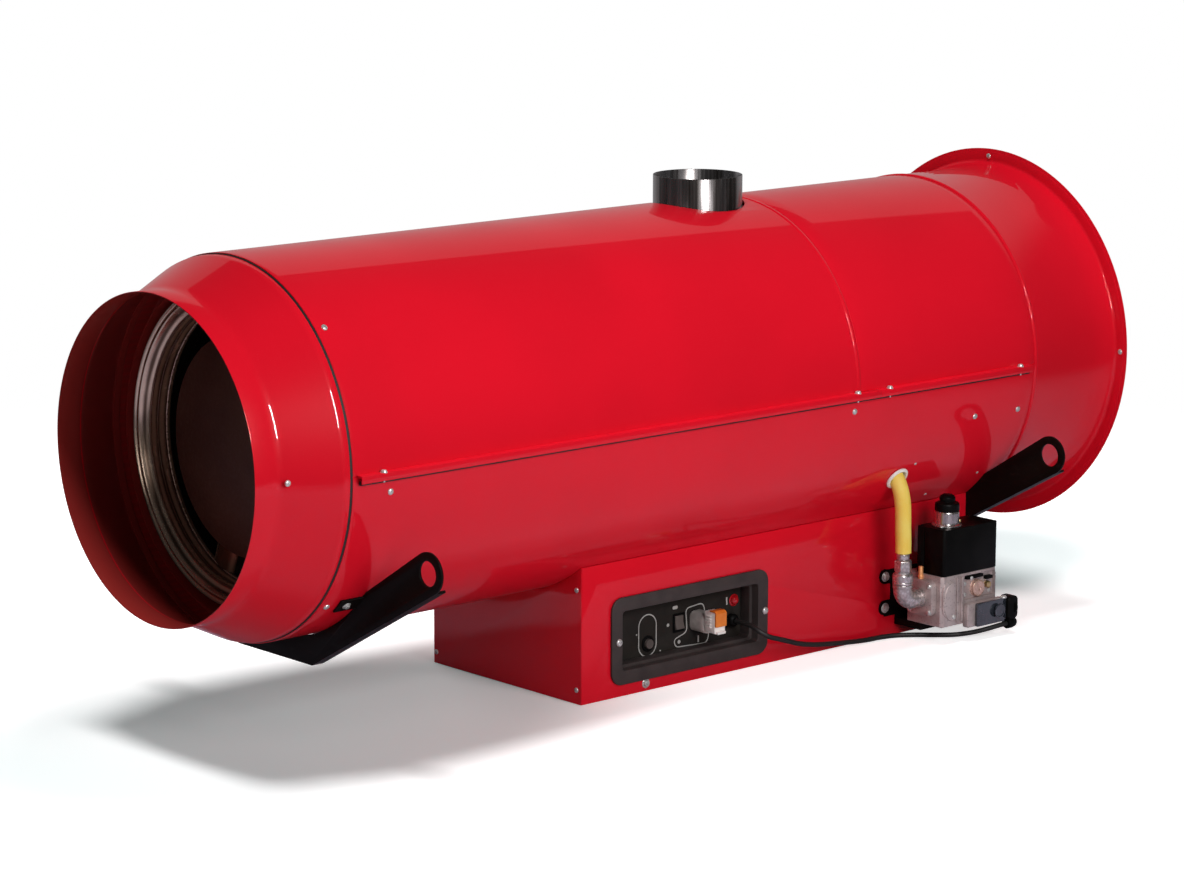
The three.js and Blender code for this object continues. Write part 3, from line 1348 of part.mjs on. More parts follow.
// The valve's bracket: a plate on the box's side with two ears, posts behind the valve and a shelf under it
function valveBracket() {
  const wallY = valve.standoff - fit;
  const faceY = wallY - mount.thickness;
  const back = prism(
    rectangle(mount.earX, valve.length, mount.low, mount.high), alongY, -wallY, mount.thickness,
  );
  const ears = [mount.lowEar, mount.highEar].map((z) => prism(
    circle(mount.earRadius, sides.pipe).map(([x, dz]) => [mount.earX + x, z + dz]), alongY, -wallY,
    mount.thickness,
  ));
  const opening = block(
    mount.earX - mount.earRadius - overrun, -port.thickness, faceY - overrun, wallY + overrun,
    mount.lowEar + mount.earRadius, mount.highEar - mount.earRadius,
  );
  const shelfTop = -fit;
  const shelfZ = shelfTop - mount.shelf;
  const lipZ = shelfTop - mount.lip;
  const near = -mount.shelfReach;
  const posts = [-1, 1].map((side) => {
    const x = valve.length / 2 + (side * valve.length) / 4;
    return block(x - mount.post, x + mount.post, fit, wallY - fit, mount.lowEar, mount.highEar);
  });
  return joined([
    cut(joined([back, ...ears]), [opening]),
    block(0, valve.length, near, wallY, shelfZ, shelfTop),
    block(0, valve.length, faceY, wallY, shelfZ, mount.lowEar),
    block(0, valve.length, near, near + mount.shelf, lipZ, shelfTop),
    block(0, mount.shelf, near, wallY, lipZ, shelfTop),
    ...posts,
  ]);
}

// The assembly
const { redPaint, blackPaint, stainless, scorchedSteel, zinc, castAluminium } = finishes;
const { darkPlastic, blackPlastic, whitePlastic, greyPlastic } = finishes;

const tunnel = new THREE.Group();
tunnel.position.z = axisHeight;
tunnel.add(
  piece('outlet_cone', outletCone(), redPaint),
  piece('front_ring', frontRing(), redPaint),
  piece('lower_shell', lowerShell(), redPaint),
  piece('front_upper_cover', frontUpperCover(), redPaint),
  piece('rear_upper_cover', rearUpperCover(), redPaint),
  piece('intake_shroud', intakeShroud(), redPaint),
  piece('fan_guard', fanGuard(), redPaint),
  piece('flue_collar', flueCollar(), stainless),
  piece('heat_exchanger', heatExchanger(), stainless),
  piece('combustion_chamber', combustionChamber(), scorchedSteel),
  piece('cross_duct', crossDuctPiece(), stainless),
  piece('front_cradle', exchangerCradle(frontX + cradle.frontSetback), zinc),
  piece('rear_cradle', exchangerCradle(frontX + cradle.rearSetback), zinc),
  piece('chamber_spider', chamberSpider(), zinc),
  piece('burner_plate', burnerPlatePiece(), zinc),
  piece('burner_body', burnerBody(), castAluminium),
  piece('burner_tube', burnerTube(), stainless),
  piece('gas_nozzle', gasNozzle(), zinc),
  piece('ignition_electrodes', ignitionElectrodes(), whitePlastic),
  piece('gas_pipe', gasPipe(), zinc),
  piece('blower_housing', blowerHousing(), castAluminium),
  piece('blower_motor', blowerMotor(), blackPaint),
  piece('blower_wheel', blowerWheel(), zinc),
  piece('fan_impeller', fanImpeller(), castAluminium),
  piece('fan_motor', fanMotor(), blackPaint),
  piece('motor_support', motorSupport(), blackPaint),
  piece('front_bracket', frontBracket(), blackPaint),
  piece('rear_bracket', rearBracket(), blackPaint),
  piece('hose_grommet', hoseGrommet(), whitePlastic),
);

const controlBox = new THREE.Group();
controlBox.add(
  piece('box_pan', boxPan(), redPaint),
  piece('box_front_panel', endPanel(-box.length / 2), redPaint),
  piece('box_rear_panel', endPanel(box.length / 2 - sheet), redPaint),
  piece('control_cable', controlCable(), finishes.rubber),
  piece('flame_controller', flameController(), darkPlastic),
  piece('ignition_transformer', ignitionTransformer(), blackPlastic),
  piece('gas_hose', gasHose(), finishes.yellowRubber),
);

const controlPanel = new THREE.Group();
controlPanel.position.x = panelX;
controlPanel.add(
  piece('control_bezel', controlBezel(), darkPlastic),
  piece('control_plate', controlPlate(), blackPlastic),
  piece('limit_thermostat', limitThermostat(), blackPlastic),
  piece('reset_button', resetButton(), blackPlastic),
  piece('rocker_frame', rockerFrame(), blackPlastic),
  piece('rocker_cap', rockerCap(), blackPlastic),
  piece('thermostat_socket', thermostatSocket(), greyPlastic),
  piece('thermostat_plug', thermostatPlug(), whitePlastic),
  piece('plug_latch', plugLatch(), finishes.orangePlastic),
  piece('pilot_lamp', pilotLamp(), finishes.redLens),
  piece('cable_gland', cableGland(), blackPlastic),
);

const gasTrain = new THREE.Group();
gasTrain.position.set(valveX, valveY, valve.floorGap);
gasTrain.add(
  piece('valve_body', valveBody(), castAluminium),
  piece('outlet_flange', portFlange(-1), castAluminium),
  piece('inlet_flange', portFlange(1), castAluminium),
  piece('coil_cover', coilCover(), blackPlastic),
  piece('solenoid_coils', solenoidCoils(), blackPlastic),
  piece('damper_cylinder', damperCylinder(), castAluminium),
  piece('damper_cap', damperCap(), finishes.rubber),
  piece('switch_base', switchBase(), greyPlastic),
  piece('switch_cover', switchCover(), finishes.smokedLens),
  piece('switch_plug', switchPlug(), blackPlastic),
  piece('gas_elbow', gasElbow(), zinc),
  piece('hose_union', hoseUnion(), zinc),
  piece('valve_bracket', valveBracket(), blackPaint),
);

const heater = new THREE.Group();
heater.add(tunnel, controlBox, controlPanel, gasTrain);

export default heater;
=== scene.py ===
# Indirect fired heater: the looks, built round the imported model.
# Sizes are in millimetres, as on the drawing, and the helpers turn them into metres.
# +X runs from the outlet to the fan, +Z is up, and the controls face -Y.
import json
import math

import bpy
from mathutils import Matrix, Vector

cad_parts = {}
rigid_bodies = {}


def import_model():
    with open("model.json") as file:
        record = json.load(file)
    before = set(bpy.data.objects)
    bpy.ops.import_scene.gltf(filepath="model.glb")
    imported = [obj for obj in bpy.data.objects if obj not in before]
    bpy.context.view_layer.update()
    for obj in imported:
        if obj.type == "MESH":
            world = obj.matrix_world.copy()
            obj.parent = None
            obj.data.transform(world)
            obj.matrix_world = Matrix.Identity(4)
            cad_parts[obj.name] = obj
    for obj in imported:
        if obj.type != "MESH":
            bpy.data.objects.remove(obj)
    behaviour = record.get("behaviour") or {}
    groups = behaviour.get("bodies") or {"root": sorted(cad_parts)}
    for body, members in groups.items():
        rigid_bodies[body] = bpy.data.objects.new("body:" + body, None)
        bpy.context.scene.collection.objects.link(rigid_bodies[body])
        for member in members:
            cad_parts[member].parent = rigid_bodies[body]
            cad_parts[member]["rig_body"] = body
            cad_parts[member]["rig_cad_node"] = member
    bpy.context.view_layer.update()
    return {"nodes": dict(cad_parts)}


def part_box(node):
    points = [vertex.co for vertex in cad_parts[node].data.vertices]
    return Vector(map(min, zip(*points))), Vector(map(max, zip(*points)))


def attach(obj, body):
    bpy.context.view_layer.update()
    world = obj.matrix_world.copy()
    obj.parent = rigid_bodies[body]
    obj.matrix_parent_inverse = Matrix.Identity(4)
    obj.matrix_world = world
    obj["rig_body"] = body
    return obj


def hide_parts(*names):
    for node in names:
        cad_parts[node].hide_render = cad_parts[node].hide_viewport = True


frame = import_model()
nodes = frame["nodes"]
print("stage: frame loaded,", len(nodes), "nodes")

milli = 0.001
axisHeight = 463
bodyRadius = 300
sheet = 1.5
xWay, yWay, zWay = Vector((1, 0, 0)), Vector((0, 1, 0)), Vector((0, 0, 1))


def point(*values):
    return Vector(values) * milli


# the camera that the photograph was fitted with, in metres and radians
camera = {
    "place": (-4.325152, -4.545853, 1.566955),
    "yaw": 0.72934974,
    "pitch": 0.19178221,
    "roll": 0.00326037,
    "sensor": 36,
    "lens": 114.157,
}


def makeCamera():
    yaw, pitch, roll = camera["yaw"], camera["pitch"], camera["roll"]
    ahead = Vector((math.sin(yaw) * math.cos(pitch), math.cos(yaw) * math.cos(pitch), -math.sin(pitch)))
    right = ahead.cross(zWay).normalized()
    up = right.cross(ahead)
    across = right * math.cos(roll) + up * math.sin(roll)
    upright = up * math.cos(roll) - right * math.sin(roll)
    data = bpy.data.cameras.new("camera")
    data.lens = camera["lens"]
    data.sensor_width = camera["sensor"]
    data.clip_start, data.clip_end = 0.1, 100
    thing = bpy.data.objects.new("camera", data)
    bpy.context.scene.collection.objects.link(thing)
    turn = Matrix((across, upright, -ahead)).transposed().to_4x4()
    thing.matrix_world = Matrix.Translation(camera["place"]) @ turn
    bpy.context.scene.camera = thing


makeCamera()


# ways of selecting and finishing

def deselectAll():
    bpy.ops.object.select_all(action="DESELECT")


def activate(*pieces):
    deselectAll()
    for piece in pieces:
        piece.select_set(True)
    bpy.context.view_layer.objects.active = pieces[0]


def named(name):
    piece = bpy.context.active_object
    piece.name = piece.data.name = name
    return piece


def edit(piece):
    activate(piece)
    bpy.ops.object.mode_set(mode="EDIT")
    bpy.ops.mesh.select_all(action="SELECT")


def leave():
    bpy.ops.object.mode_set(mode="OBJECT")


def applyPlace(piece):
    activate(piece)
    bpy.ops.object.transform_apply(location=True, rotation=True, scale=True)
    return piece


def applyModifier(piece, kind, **settings):
    activate(piece)
    change = piece.modifiers.new(kind.lower(), kind)
    for key, value in settings.items():
        setattr(change, key, value)
    bpy.ops.object.modifier_apply(modifier=change.name)
    return piece


def softenEdges(piece, width, segments=2, angle=38):
    return applyModifier(piece, "BEVEL", width=width * milli, segments=segments, limit_method="ANGLE",
                         angle_limit=math.radians(angle), harden_normals=False, miter_outer="MITER_ARC")


def combine(piece, other, operation="DIFFERENCE"):
    applyModifier(piece, "BOOLEAN", object=other, operation=operation, solver="EXACT")
    bpy.data.objects.remove(other)


def pick(parts, kind, rule):
    # in edit mode, selects only the vertices, edges or faces that a rule picks
    bpy.ops.mesh.select_all(action="DESELECT")
    leave()
    for part in parts:
        part.select = rule(part)
    bpy.ops.object.mode_set(mode="EDIT")
    bpy.ops.mesh.select_mode(type=kind)


def cleanNormals():
    bpy.ops.mesh.select_all(action="SELECT")
    bpy.ops.mesh.remove_doubles(threshold=1e-6)
    bpy.ops.mesh.normals_make_consistent(inside=False)


def settle(piece, finish, slot, *replaced, body="heater", angle=36):
    activate(piece)
    bpy.ops.object.shade_smooth_by_angle(angle=math.radians(angle))
    piece.data.materials.clear()
    piece.data.materials.append(finish)
    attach(piece, body)
    if replaced:
        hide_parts(*replaced)


def joined(name, pieces):
    activate(*pieces)
    if len(pieces) > 1:
        bpy.ops.object.join()
    return named(name)


def copied(piece, name, move):
    twin = piece.copy()
    twin.data = piece.data.copy()
    twin.name = twin.data.name = name
    bpy.context.scene.collection.objects.link(twin)
    twin.data.transform(move)
    return twin


# ways of making a shape

def turned(name, stations, place=(0, 0, axisHeight), way=xWay, sides=96, capped=True):
    # a circle drawn out along a line, from station to station of height and radius
    axis, origin = Vector(way).normalized(), point(*place)
    height, radius = stations[0]
    deselectAll()
    bpy.ops.mesh.primitive_circle_add(
        vertices=sides, radius=radius * milli, fill_type="NOTHING",
        location=origin + axis * height * milli, rotation=axis.to_track_quat("Z", "Y").to_euler())
    piece = named(name)
    edit(piece)
    for nextHeight, nextRadius in stations[1:]:
        step = axis * (nextHeight - height) * milli
        bpy.ops.mesh.extrude_edges_move(TRANSFORM_OT_translate={"value": step})
        share = nextRadius / radius
        bpy.ops.transform.resize(value=(share, share, share),
                                 center_override=origin + axis * nextHeight * milli)
        height, radius = nextHeight, nextRadius
    bpy.ops.mesh.select_all(action="SELECT")
    bpy.ops.mesh.remove_doubles(threshold=1e-6)
    if capped:
        bpy.ops.mesh.fill_holes(sides=0)
    cleanNormals()
    leave()
    return applyPlace(piece)


def drill(piece, radius, reach, place, way, sides):
    # a round hole, from the first to the last height along the way
    combine(piece, turned("drill", [(height, radius) for height in reach], place, way, sides))


def rounded(stations, reach, steps=4):
    # a profile whose inner corners are eased, by the reach or half the shorter side
    eased = [stations[0]]
    for before, corner, after in zip(stations, stations[1:], stations[2:]):
        before, corner, after = Vector(before), Vector(corner), Vector(after)
        near = min(reach, (before - corner).length / 2, (after - corner).length / 2)
        start = corner + (before - corner).normalized() * near
        end = corner + (after - corner).normalized() * near
        for i in range(steps + 1):
            share = i / steps
            eased.append(tuple(start.lerp(corner, share).lerp(corner.lerp(end, share), share)))
    eased.append(stations[-1])
    return eased


def arc(centre, radius, first, turn, steps, high=None):
    # points along an arc from the first angle, round or as high as given
    angles = [first + turn * i / steps for i in range(steps + 1)]
    return [(centre[0] + radius * math.cos(angle), centre[1] + (high or radius) * math.sin(angle))
            for angle in angles]


def prism(name, outline, origin, across, up, depth):
    # an outline of (across, up) points, filled and drawn out along across x up
    across, up = Vector(across), Vector(up)
    way = across.cross(up)
    deselectAll()
    bpy.ops.mesh.primitive_circle_add(vertices=len(outline), fill_type="NOTHING")
    piece = named(name)
    for corner, (right, high) in zip(piece.data.vertices, outline):
        corner.co = point(*origin) + (across * right + up * high) * milli
    edit(piece)
    bpy.ops.mesh.edge_face_add()
    bpy.ops.mesh.extrude_region_move(TRANSFORM_OT_translate={"value": way * depth * milli})
    cleanNormals()
    leave()
    return piece


def block(name, low, high, corner=0, along=None, segments=4):
    # a cube at its size and place, whose edges along one line may be rounded
    low, high = point(*low), point(*high)
    deselectAll()
    bpy.ops.mesh.primitive_cube_add(size=1, location=(low + high) / 2, scale=high - low)
    piece = applyPlace(named(name))
    if corner:
        def liesAlong(edge):
            first, second = (piece.data.vertices[i].co for i in edge.vertices)
            return abs((second - first).normalized().dot(along)) > 0.99

        edit(piece)
        pick(piece.data.edges, "EDGE", liesAlong)
        bpy.ops.mesh.bevel(offset=corner * milli, segments=segments, affect="EDGES")
        leave()
    return piece


def ringWire(name, x, radius, wire, sides):
    # a round wire bent into a ring round the tunnel's axis
    deselectAll()
    bpy.ops.mesh.primitive_torus_add(
        location=point(x, 0, axisHeight), rotation=(0, math.pi / 2, 0), major_radius=radius * milli,
        minor_radius=wire * milli, major_segments=sides, minor_segments=12)
    return applyPlace(named(name))


def smoothPath(points, steps):
    # points joined by one smooth curve that passes through them all
    points = [Vector(place) for place in points]
    ends = [points[0] * 2 - points[1], *points, points[-1] * 2 - points[-2]]
    path = []
    for a, b, c, d in zip(ends, ends[1:], ends[2:], ends[3:]):
        before, middle, after = [(q - p).length ** 0.5 for p, q in ((a, b), (b, c), (c, d))]
        start = ((b - a) / before - (c - a) / (before + middle) + (c - b) / middle) * middle
        end = ((c - b) / middle - (d - b) / (middle + after) + (d - c) / after) * middle
        for i in range(steps):
            t = i / steps
            path.append(b * (2 * t ** 3 - 3 * t ** 2 + 1) + start * (t ** 3 - 2 * t ** 2 + t)
                        + c * (3 * t ** 2 - 2 * t ** 3) + end * (t ** 3 - t ** 2))
    path.append(points[-1])
    return path


def tube(name, path, radius, closed=False, resolution=5):
    # a round tube along a path in metres, as a curve of one spline
    data = bpy.data.curves.new(name, "CURVE")
    data.dimensions = "3D"
    data.bevel_depth = radius * milli
    data.bevel_resolution = resolution
    data.use_fill_caps = not closed
    line = data.splines.new("POLY")
    line.points.add(len(path) - 1)
    for place, spot in zip(line.points, path):
        place.co = (*spot, 1)
    line.use_cyclic_u = closed
    piece = bpy.data.objects.new(name, data)
    bpy.context.scene.collection.objects.link(piece)
    return piece


def meshTube(name, path, radius, closed=False, resolution=5):
    piece = tube(name, path, radius, closed, resolution)
    activate(piece)
    bpy.ops.object.convert(target="MESH")
    piece = named(name)
    edit(piece)
    cleanNormals()
    leave()
    return piece


def dressed(node, width, segments, angle):
    # a copy of a solid, merged, with its edges eased
    source = nodes[node]
    piece = source.copy()
    piece.data = source.data.copy()
    piece.parent = None
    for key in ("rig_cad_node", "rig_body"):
        if key in piece:
            del piece[key]
    piece.name = piece.data.name = node + "_finished"
    piece.hide_render = piece.hide_viewport = False
    bpy.context.scene.collection.objects.link(piece)
    edit(piece)
    bpy.ops.mesh.remove_doubles(threshold=1e-5)
    bpy.ops.mesh.dissolve_limited(angle_limit=math.radians(0.6))
    leave()
    return softenEdges(piece, width, segments, angle)


def dress(node, easing, finish, slot, body="heater"):
    # a solid that needs only eased edges, by width, segments and angle, and a finish
    settle(dressed(node, *easing), finish, slot, node, body=body)


def lathe(name, line, ease, place, way, sides, finish, slot, *replaced, capped=True, body="heater"):
    # a turned piece whose corners may be eased, by reach and steps, and its finish
    line = rounded(line, *ease) if ease else line
    settle(turned(name, line, place, way, sides, capped), finish, slot, *replaced, body=body)


def span(node):
    # a solid's lowest and highest corners, in millimetres
    return [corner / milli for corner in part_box(node)]


# materials: shader maths as plain expressions

class Signal:
    def __init__(self, finish, socket):
        self.finish, self.socket = finish, socket

    def maths(self, operation, *values):
        return self.finish.node("Math", {"operation": operation}, dict(enumerate(values)))

    def __add__(self, other):
        return self.maths("ADD", self, other)

    def __radd__(self, other):
        return self.maths("ADD", other, self)

    def __sub__(self, other):
        return self.maths("SUBTRACT", self, other)

    def __rsub__(self, other):
        return self.maths("SUBTRACT", other, self)

    def __mul__(self, other):
        return self.maths("MULTIPLY", self, other)

    def __truediv__(self, other):
        return self.maths("DIVIDE", self, other)

    def __pow__(self, other):
        return self.maths("POWER", self, other)

    def clamped(self):
        return self.finish.node("Clamp", {}, {0: self})


class Finish:
    def __init__(self, name, owner=None):
        self.owner = owner or bpy.data.materials.new(name)
        self.owner.use_nodes = True
        self.tree = self.owner.node_tree
        self.tree.nodes.clear()

    def node(self, kind, settings, sockets, output=0):
        made = self.tree.nodes.new("ShaderNode" + kind)
        for key, value in settings.items():
            setattr(made, key, value)
        self.feed(made, sockets)
        return Signal(self, made.outputs[output]) if made.outputs else None

    def feed(self, made, sockets):
        for key, value in sockets.items():
            if isinstance(value, Signal):
                self.tree.links.new(value.socket, made.inputs[key])
            else:
                made.inputs[key].default_value = value

    def place(self, scale=(1, 1, 1)):
        coordinates = self.node("TexCoord", {}, {}, "Object")
        return self.node("Mapping", {}, {"Vector": coordinates, "Scale": scale})

    def axis(self, letter):
        # one coordinate of the surface, in millimetres
        coordinates = self.node("TexCoord", {}, {}, "Object")
        return self.node("SeparateXYZ", {}, {"Vector": coordinates}, letter) * (1 / milli)

    def reach(self):
        # how far the surface is from the tunnel's axis, in millimetres
        across, high = self.axis("Y"), self.axis("Z") - axisHeight
        return (across * across + high * high) ** 0.5

    def waves(self, value, length):
        # even ripples from 0 to 1
        wave = self.node("Math", {"operation": "SINE"}, {0: value * (math.tau / length)})
        return wave * 0.5 + 0.5

    def noise(self, scale, detail=3, stretch=(1, 1, 1), roughness=0.5):
        sockets = {"Vector": self.place(stretch), "Scale": scale, "Detail": detail, "Roughness": roughness}
        return self.node("TexNoise", {}, sockets)

    def cells(self, scale):
        sockets = {"Vector": self.place(), "Scale": scale}
        return self.node("TexVoronoi", {"feature": "F1"}, sockets)

    def between(self, value, low, high, first=0.0, second=1.0):
        sockets = {"Value": value, "From Min": low, "From Max": high, "To Min": first, "To Max": second}
        return self.node("MapRange", {"interpolation_type": "SMOOTHSTEP"}, sockets)

    def mix(self, share, first, second):
        colours = [value if isinstance(value, Signal) else (*value, 1) for value in (first, second)]
        sockets = {0: share, 6: colours[0], 7: colours[1]}
        return self.node("Mix", {"data_type": "RGBA"}, sockets, 2)

    def bump(self, height, strength, distance):
        sockets = {"Height": height, "Strength": strength, "Distance": distance}
        return self.node("Bump", {}, sockets)

    def surface(self, **values):
        # baseColor=... feeds the socket Base Color, and so on
        shader = self.tree.nodes.new("ShaderNodeBsdfPrincipled")
        names = {socket.name.replace(" ", "").lower(): socket.name for socket in shader.inputs}
        self.feed(shader, {names[key.lower()]: value for key, value in values.items()})
        self.node("OutputMaterial", {}, {"Surface": Signal(self, shader.outputs[0])})
        return self.owner


# inside is a darker red for the outlet cone's inner face, as painted shade
paint = {
    "red": (0.74, 0.006, 0.020), "worn": (0.68, 0.0055, 0.018), "inside": (0.32, 0.026, 0.023),
    "coat": 0.008, "peel": 0.012, "gloss": 0.55,
}


def redPaint(name="red paint", inside=None):
    finish = Finish(name)
    drift = finish.noise(3.2, 2)
    specks = finish.between(finish.noise(900, 1), 0.70, 0.78)
    colour = finish.mix(finish.between(drift, 0.35, 0.7), paint["red"], paint["worn"])
    dustAndShade = finish.mix(specks * 0.10, colour, (0.75, 0.30, 0.30))
    if inside:
        # painted shade: the cone's inner face is painted a darker red
        (start, narrow), (end, wide) = inside
        share = ((finish.axis("X") - start) / (end - start)).clamped()
        line = narrow + share * (wide - narrow)
        dustAndShade = finish.mix(finish.between(line - finish.reach(), 0.5, 1.0), dustAndShade, paint["inside"])
    peel = finish.bump(finish.noise(260, 2) + finish.noise(60, 1) * 0.6, paint["peel"], 0.0006)
    return finish.surface(baseColor=dustAndShade, roughness=finish.between(drift, 0.3, 0.7, 0.30, 0.38),
                          specularIorLevel=0.04, coatWeight=paint["gloss"], coatRoughness=paint["coat"],
                          coatIor=1.5, normal=peel)


def grained(name, tones, cloud, grain, rough, bump, spread=(0.3, 0.7), share=1.0, specks=None, **rest):
    # a cloudy change of tone, and a fine grain that sets the gloss and the relief
    finish = Finish(name)
    fine = finish.noise(*grain)
    tone = finish.mix(finish.between(finish.noise(*cloud), *spread) * share, *tones)
    if specks:
        low, high, strength, colour = specks
        tone = finish.mix(finish.between(fine, low, high) * strength, tone, colour)
    return finish.surface(baseColor=tone, roughness=finish.between(fine, 0.3, 0.7, *rough),
                          normal=finish.bump(fine, *bump), **rest)


def rolledSteel(name, dark, light):
    # bright sheet rolled into a pipe, with soft upright bands of painted reflection
    finish = Finish(name)
    reflectionBands = finish.noise(34, 2, (1, 1, 0.01))
    lines = finish.noise(230, 2, (1, 1, 0.02))
    cloud = finish.noise(16, 2)
    # painted reflection: dark and light upright bands
    tone = finish.mix(finish.between(reflectionBands, 0.36, 0.66), dark, light)
    tone = finish.mix(finish.between(lines + cloud * 0.4, 0.5, 0.9) * 0.2, tone, (0.60, 0.57, 0.57))
    return finish.surface(baseColor=tone, metallic=0.9, roughness=finish.between(lines, 0.3, 0.7, 0.22, 0.30),
                          normal=finish.bump(lines, 0.03, 0.0002))


def castMetal():
    finish = Finish("cast aluminium")
    grain = finish.noise(300, 4, roughness=0.7)
    pits = finish.between(finish.cells(210), 0.0, 0.35)
    cloud = finish.noise(22, 3)
    tone = finish.mix(finish.between(cloud, 0.3, 0.7), (0.36, 0.285, 0.28), (0.60, 0.50, 0.49))
    return finish.surface(baseColor=finish.mix(pits, (0.24, 0.19, 0.185), tone), metallic=0.45,
                          roughness=finish.between(grain, 0.3, 0.7, 0.42, 0.60),
                          normal=finish.bump(grain + pits * 0.5, 0.35, 0.0006))


def plated(name, colour, shade, smooth=0.24, metal=1.0):
    finish = Finish(name)
    flakes = finish.cells(190)
    cloud = finish.noise(120, 3)
    tone = finish.mix(finish.between(flakes * 0.5 + cloud * 0.6, 0.2, 0.75), colour, shade)
    return finish.surface(baseColor=tone, metallic=metal,
                          roughness=finish.between(cloud, 0.3, 0.7, smooth, smooth + 0.18),
                          normal=finish.bump(cloud, 0.04, 0.0003))


def moulded(name, colour, shade, smooth=0.45, grainScale=900, level=0.5):
    return grained(name, (colour, shade), (26, 3), (grainScale, 2), (smooth, smooth + 0.12), (0.16, 0.0003),
                   (0.35, 0.7), specularIorLevel=level)


heat = {"inside": (219.8, 222.5), "sooty": (-961, -955), "frontRipple": 9, "insideRipple": 16}


def heatTinted():
    # the exchanger: pressed stainless in front, browned inside by the heat, with ripples of painted shade and
    # highlight over its ridges, and painted shade, near black, further in
    finish = Finish("heat tinted stainless")
    x, reach = finish.axis("X"), finish.reach()
    inside = finish.between(reach, *heat["inside"], 1.0, 0.0)
    # painted shade: near black further into the tunnel
    deep = finish.between(x, *heat["sooty"])
    # painted shade and highlight: even ripples standing in for light on the pressed ridges
    rings = finish.waves(reach, heat["frontRipple"]) * (1 - inside)
    rings = rings + finish.waves(x, heat["insideRipple"]) * inside
    lines = finish.noise(46, 4, (1, 0.3, 0.3), 0.6)
    cloud = finish.noise(6, 3)
    share = finish.between(lines * 0.25 + cloud * 0.4 + rings * 0.35, 0.3, 0.7)
    steel = finish.mix(share, (0.12, 0.070, 0.048), (0.80, 0.58, 0.44))
    brown = finish.mix(share, (0.12, 0.046, 0.028), (0.66, 0.36, 0.25))
    warm = finish.mix(inside, steel, brown)
    return finish.surface(baseColor=finish.mix(deep, warm, (0.012, 0.009, 0.008)),
                          metallic=0.85 - inside * 0.45,
                          roughness=finish.between(lines, 0.3, 0.7, 0.18, 0.30),
                          normal=finish.bump(lines + cloud * 0.8, 0.03, 0.0006))


def glossLens(name, colour, shade):
    finish = Finish(name)
    cloud = finish.noise(240, 2)
    tone = finish.mix(finish.between(cloud, 0.3, 0.7), colour, shade)
    return finish.surface(baseColor=tone, roughness=finish.between(cloud, 0.3, 0.7, 0.06, 0.12),
                          coatWeight=1.0, coatRoughness=0.04)


red = redPaint()
black = grained("satin black paint", ((0.0055, 0.0036, 0.0030), (0.012, 0.009, 0.008)),
                (34, 4, (1, 1, 3)), (700, 2), (0.34, 0.46), (0.12, 0.0004), (0.56, 0.72), 0.5,
                specularIorLevel=0.06)
flueSteel = rolledSteel("rolled stainless", (0.088, 0.075, 0.070), (0.285, 0.272, 0.282))
flueBright = rolledSteel("turned steel", (0.36, 0.31, 0.30), (0.80, 0.74, 0.73))
zinc = plated("zinc plate", (0.80, 0.79, 0.77), (0.58, 0.57, 0.56), 0.24, 0.55)
galvanised = plated("galvanised pipe", (0.80, 0.74, 0.73), (0.44, 0.385, 0.375), 0.24, 0.8)
cast = castMetal()
scorched = grained("scorched steel", ((0.075, 0.019, 0.012), (0.11, 0.036, 0.022)),
                   (7, 4), (160, 4, (1, 1, 1), 0.7), (0.48, 0.68), (0.2, 0.0005),
                   specks=(0.55, 0.75, 1.0, (0.12, 0.055, 0.036)), metallic=0.25)
exchangerSteel = heatTinted()
beadSteel = plated("bead, copper tinted", (0.85, 0.58, 0.48), (0.66, 0.42, 0.34), 0.2, 0.6)
darkPlastic = moulded("dark plastic", (0.050, 0.036, 0.034), (0.036, 0.026, 0.025), 0.50, 700, 0.35)
plateBlack = moulded("plate black", (0.020, 0.0155, 0.0125), (0.014, 0.011, 0.009), 0.6, 1100, 0.2)
blackPlastic = moulded("black plastic", (0.0032, 0.0030, 0.0029), (0.0055, 0.0051, 0.0049), 0.36, 800, 0.06)
whitePlastic = moulded("white plastic", (0.92, 0.87, 0.84), (0.80, 0.74, 0.71), 0.36, 600)
greyPlastic = moulded("grey plastic", (0.88, 0.80, 0.77), (0.42, 0.36, 0.34), 0.5, 260)
orangePlastic = moulded("orange plastic", (0.86, 0.235, 0.022), (0.72, 0.165, 0.012), 0.34, 700)
redLens = glossLens("red lens", (0.55, 0.008, 0.012), (0.38, 0.004, 0.008))
smokedLens = glossLens("smoked lens", (0.016, 0.019, 0.026), (0.034, 0.038, 0.050))
fanGrey = moulded("fan grey", (0.16, 0.155, 0.15), (0.12, 0.115, 0.11), 0.42, 500, 0.4)
brownPlastic = moulded("brown plastic", (0.115, 0.090, 0.082), (0.085, 0.066, 0.060), 0.42, 700, 0.35)
rubber = moulded("black rubber", (0.011, 0.010, 0.010), (0.018, 0.016, 0.015), 0.52, 500, 0.4)
yellow = grained("yellow hose", ((0.98, 0.74, 0.15), (0.96, 0.66, 0.10)),
                 (30, 3), (520, 3, (1, 1, 0.6)), (0.55, 0.7), (0.25, 0.0005),
                 specks=(0.5, 0.7, 0.35, (0.98, 0.80, 0.28)), specularIorLevel=0.35)
printed = moulded("printed line", (0.50, 0.48, 0.46), (0.38, 0.36, 0.35), 0.5, 600)
brass = plated("brass", (0.80, 0.60, 0.30), (0.62, 0.44, 0.20))
copper = plated("orange pipe end", (0.95, 0.46, 0.20), (0.85, 0.36, 0.14), 0.35, 0.4)
print("stage: materials made")

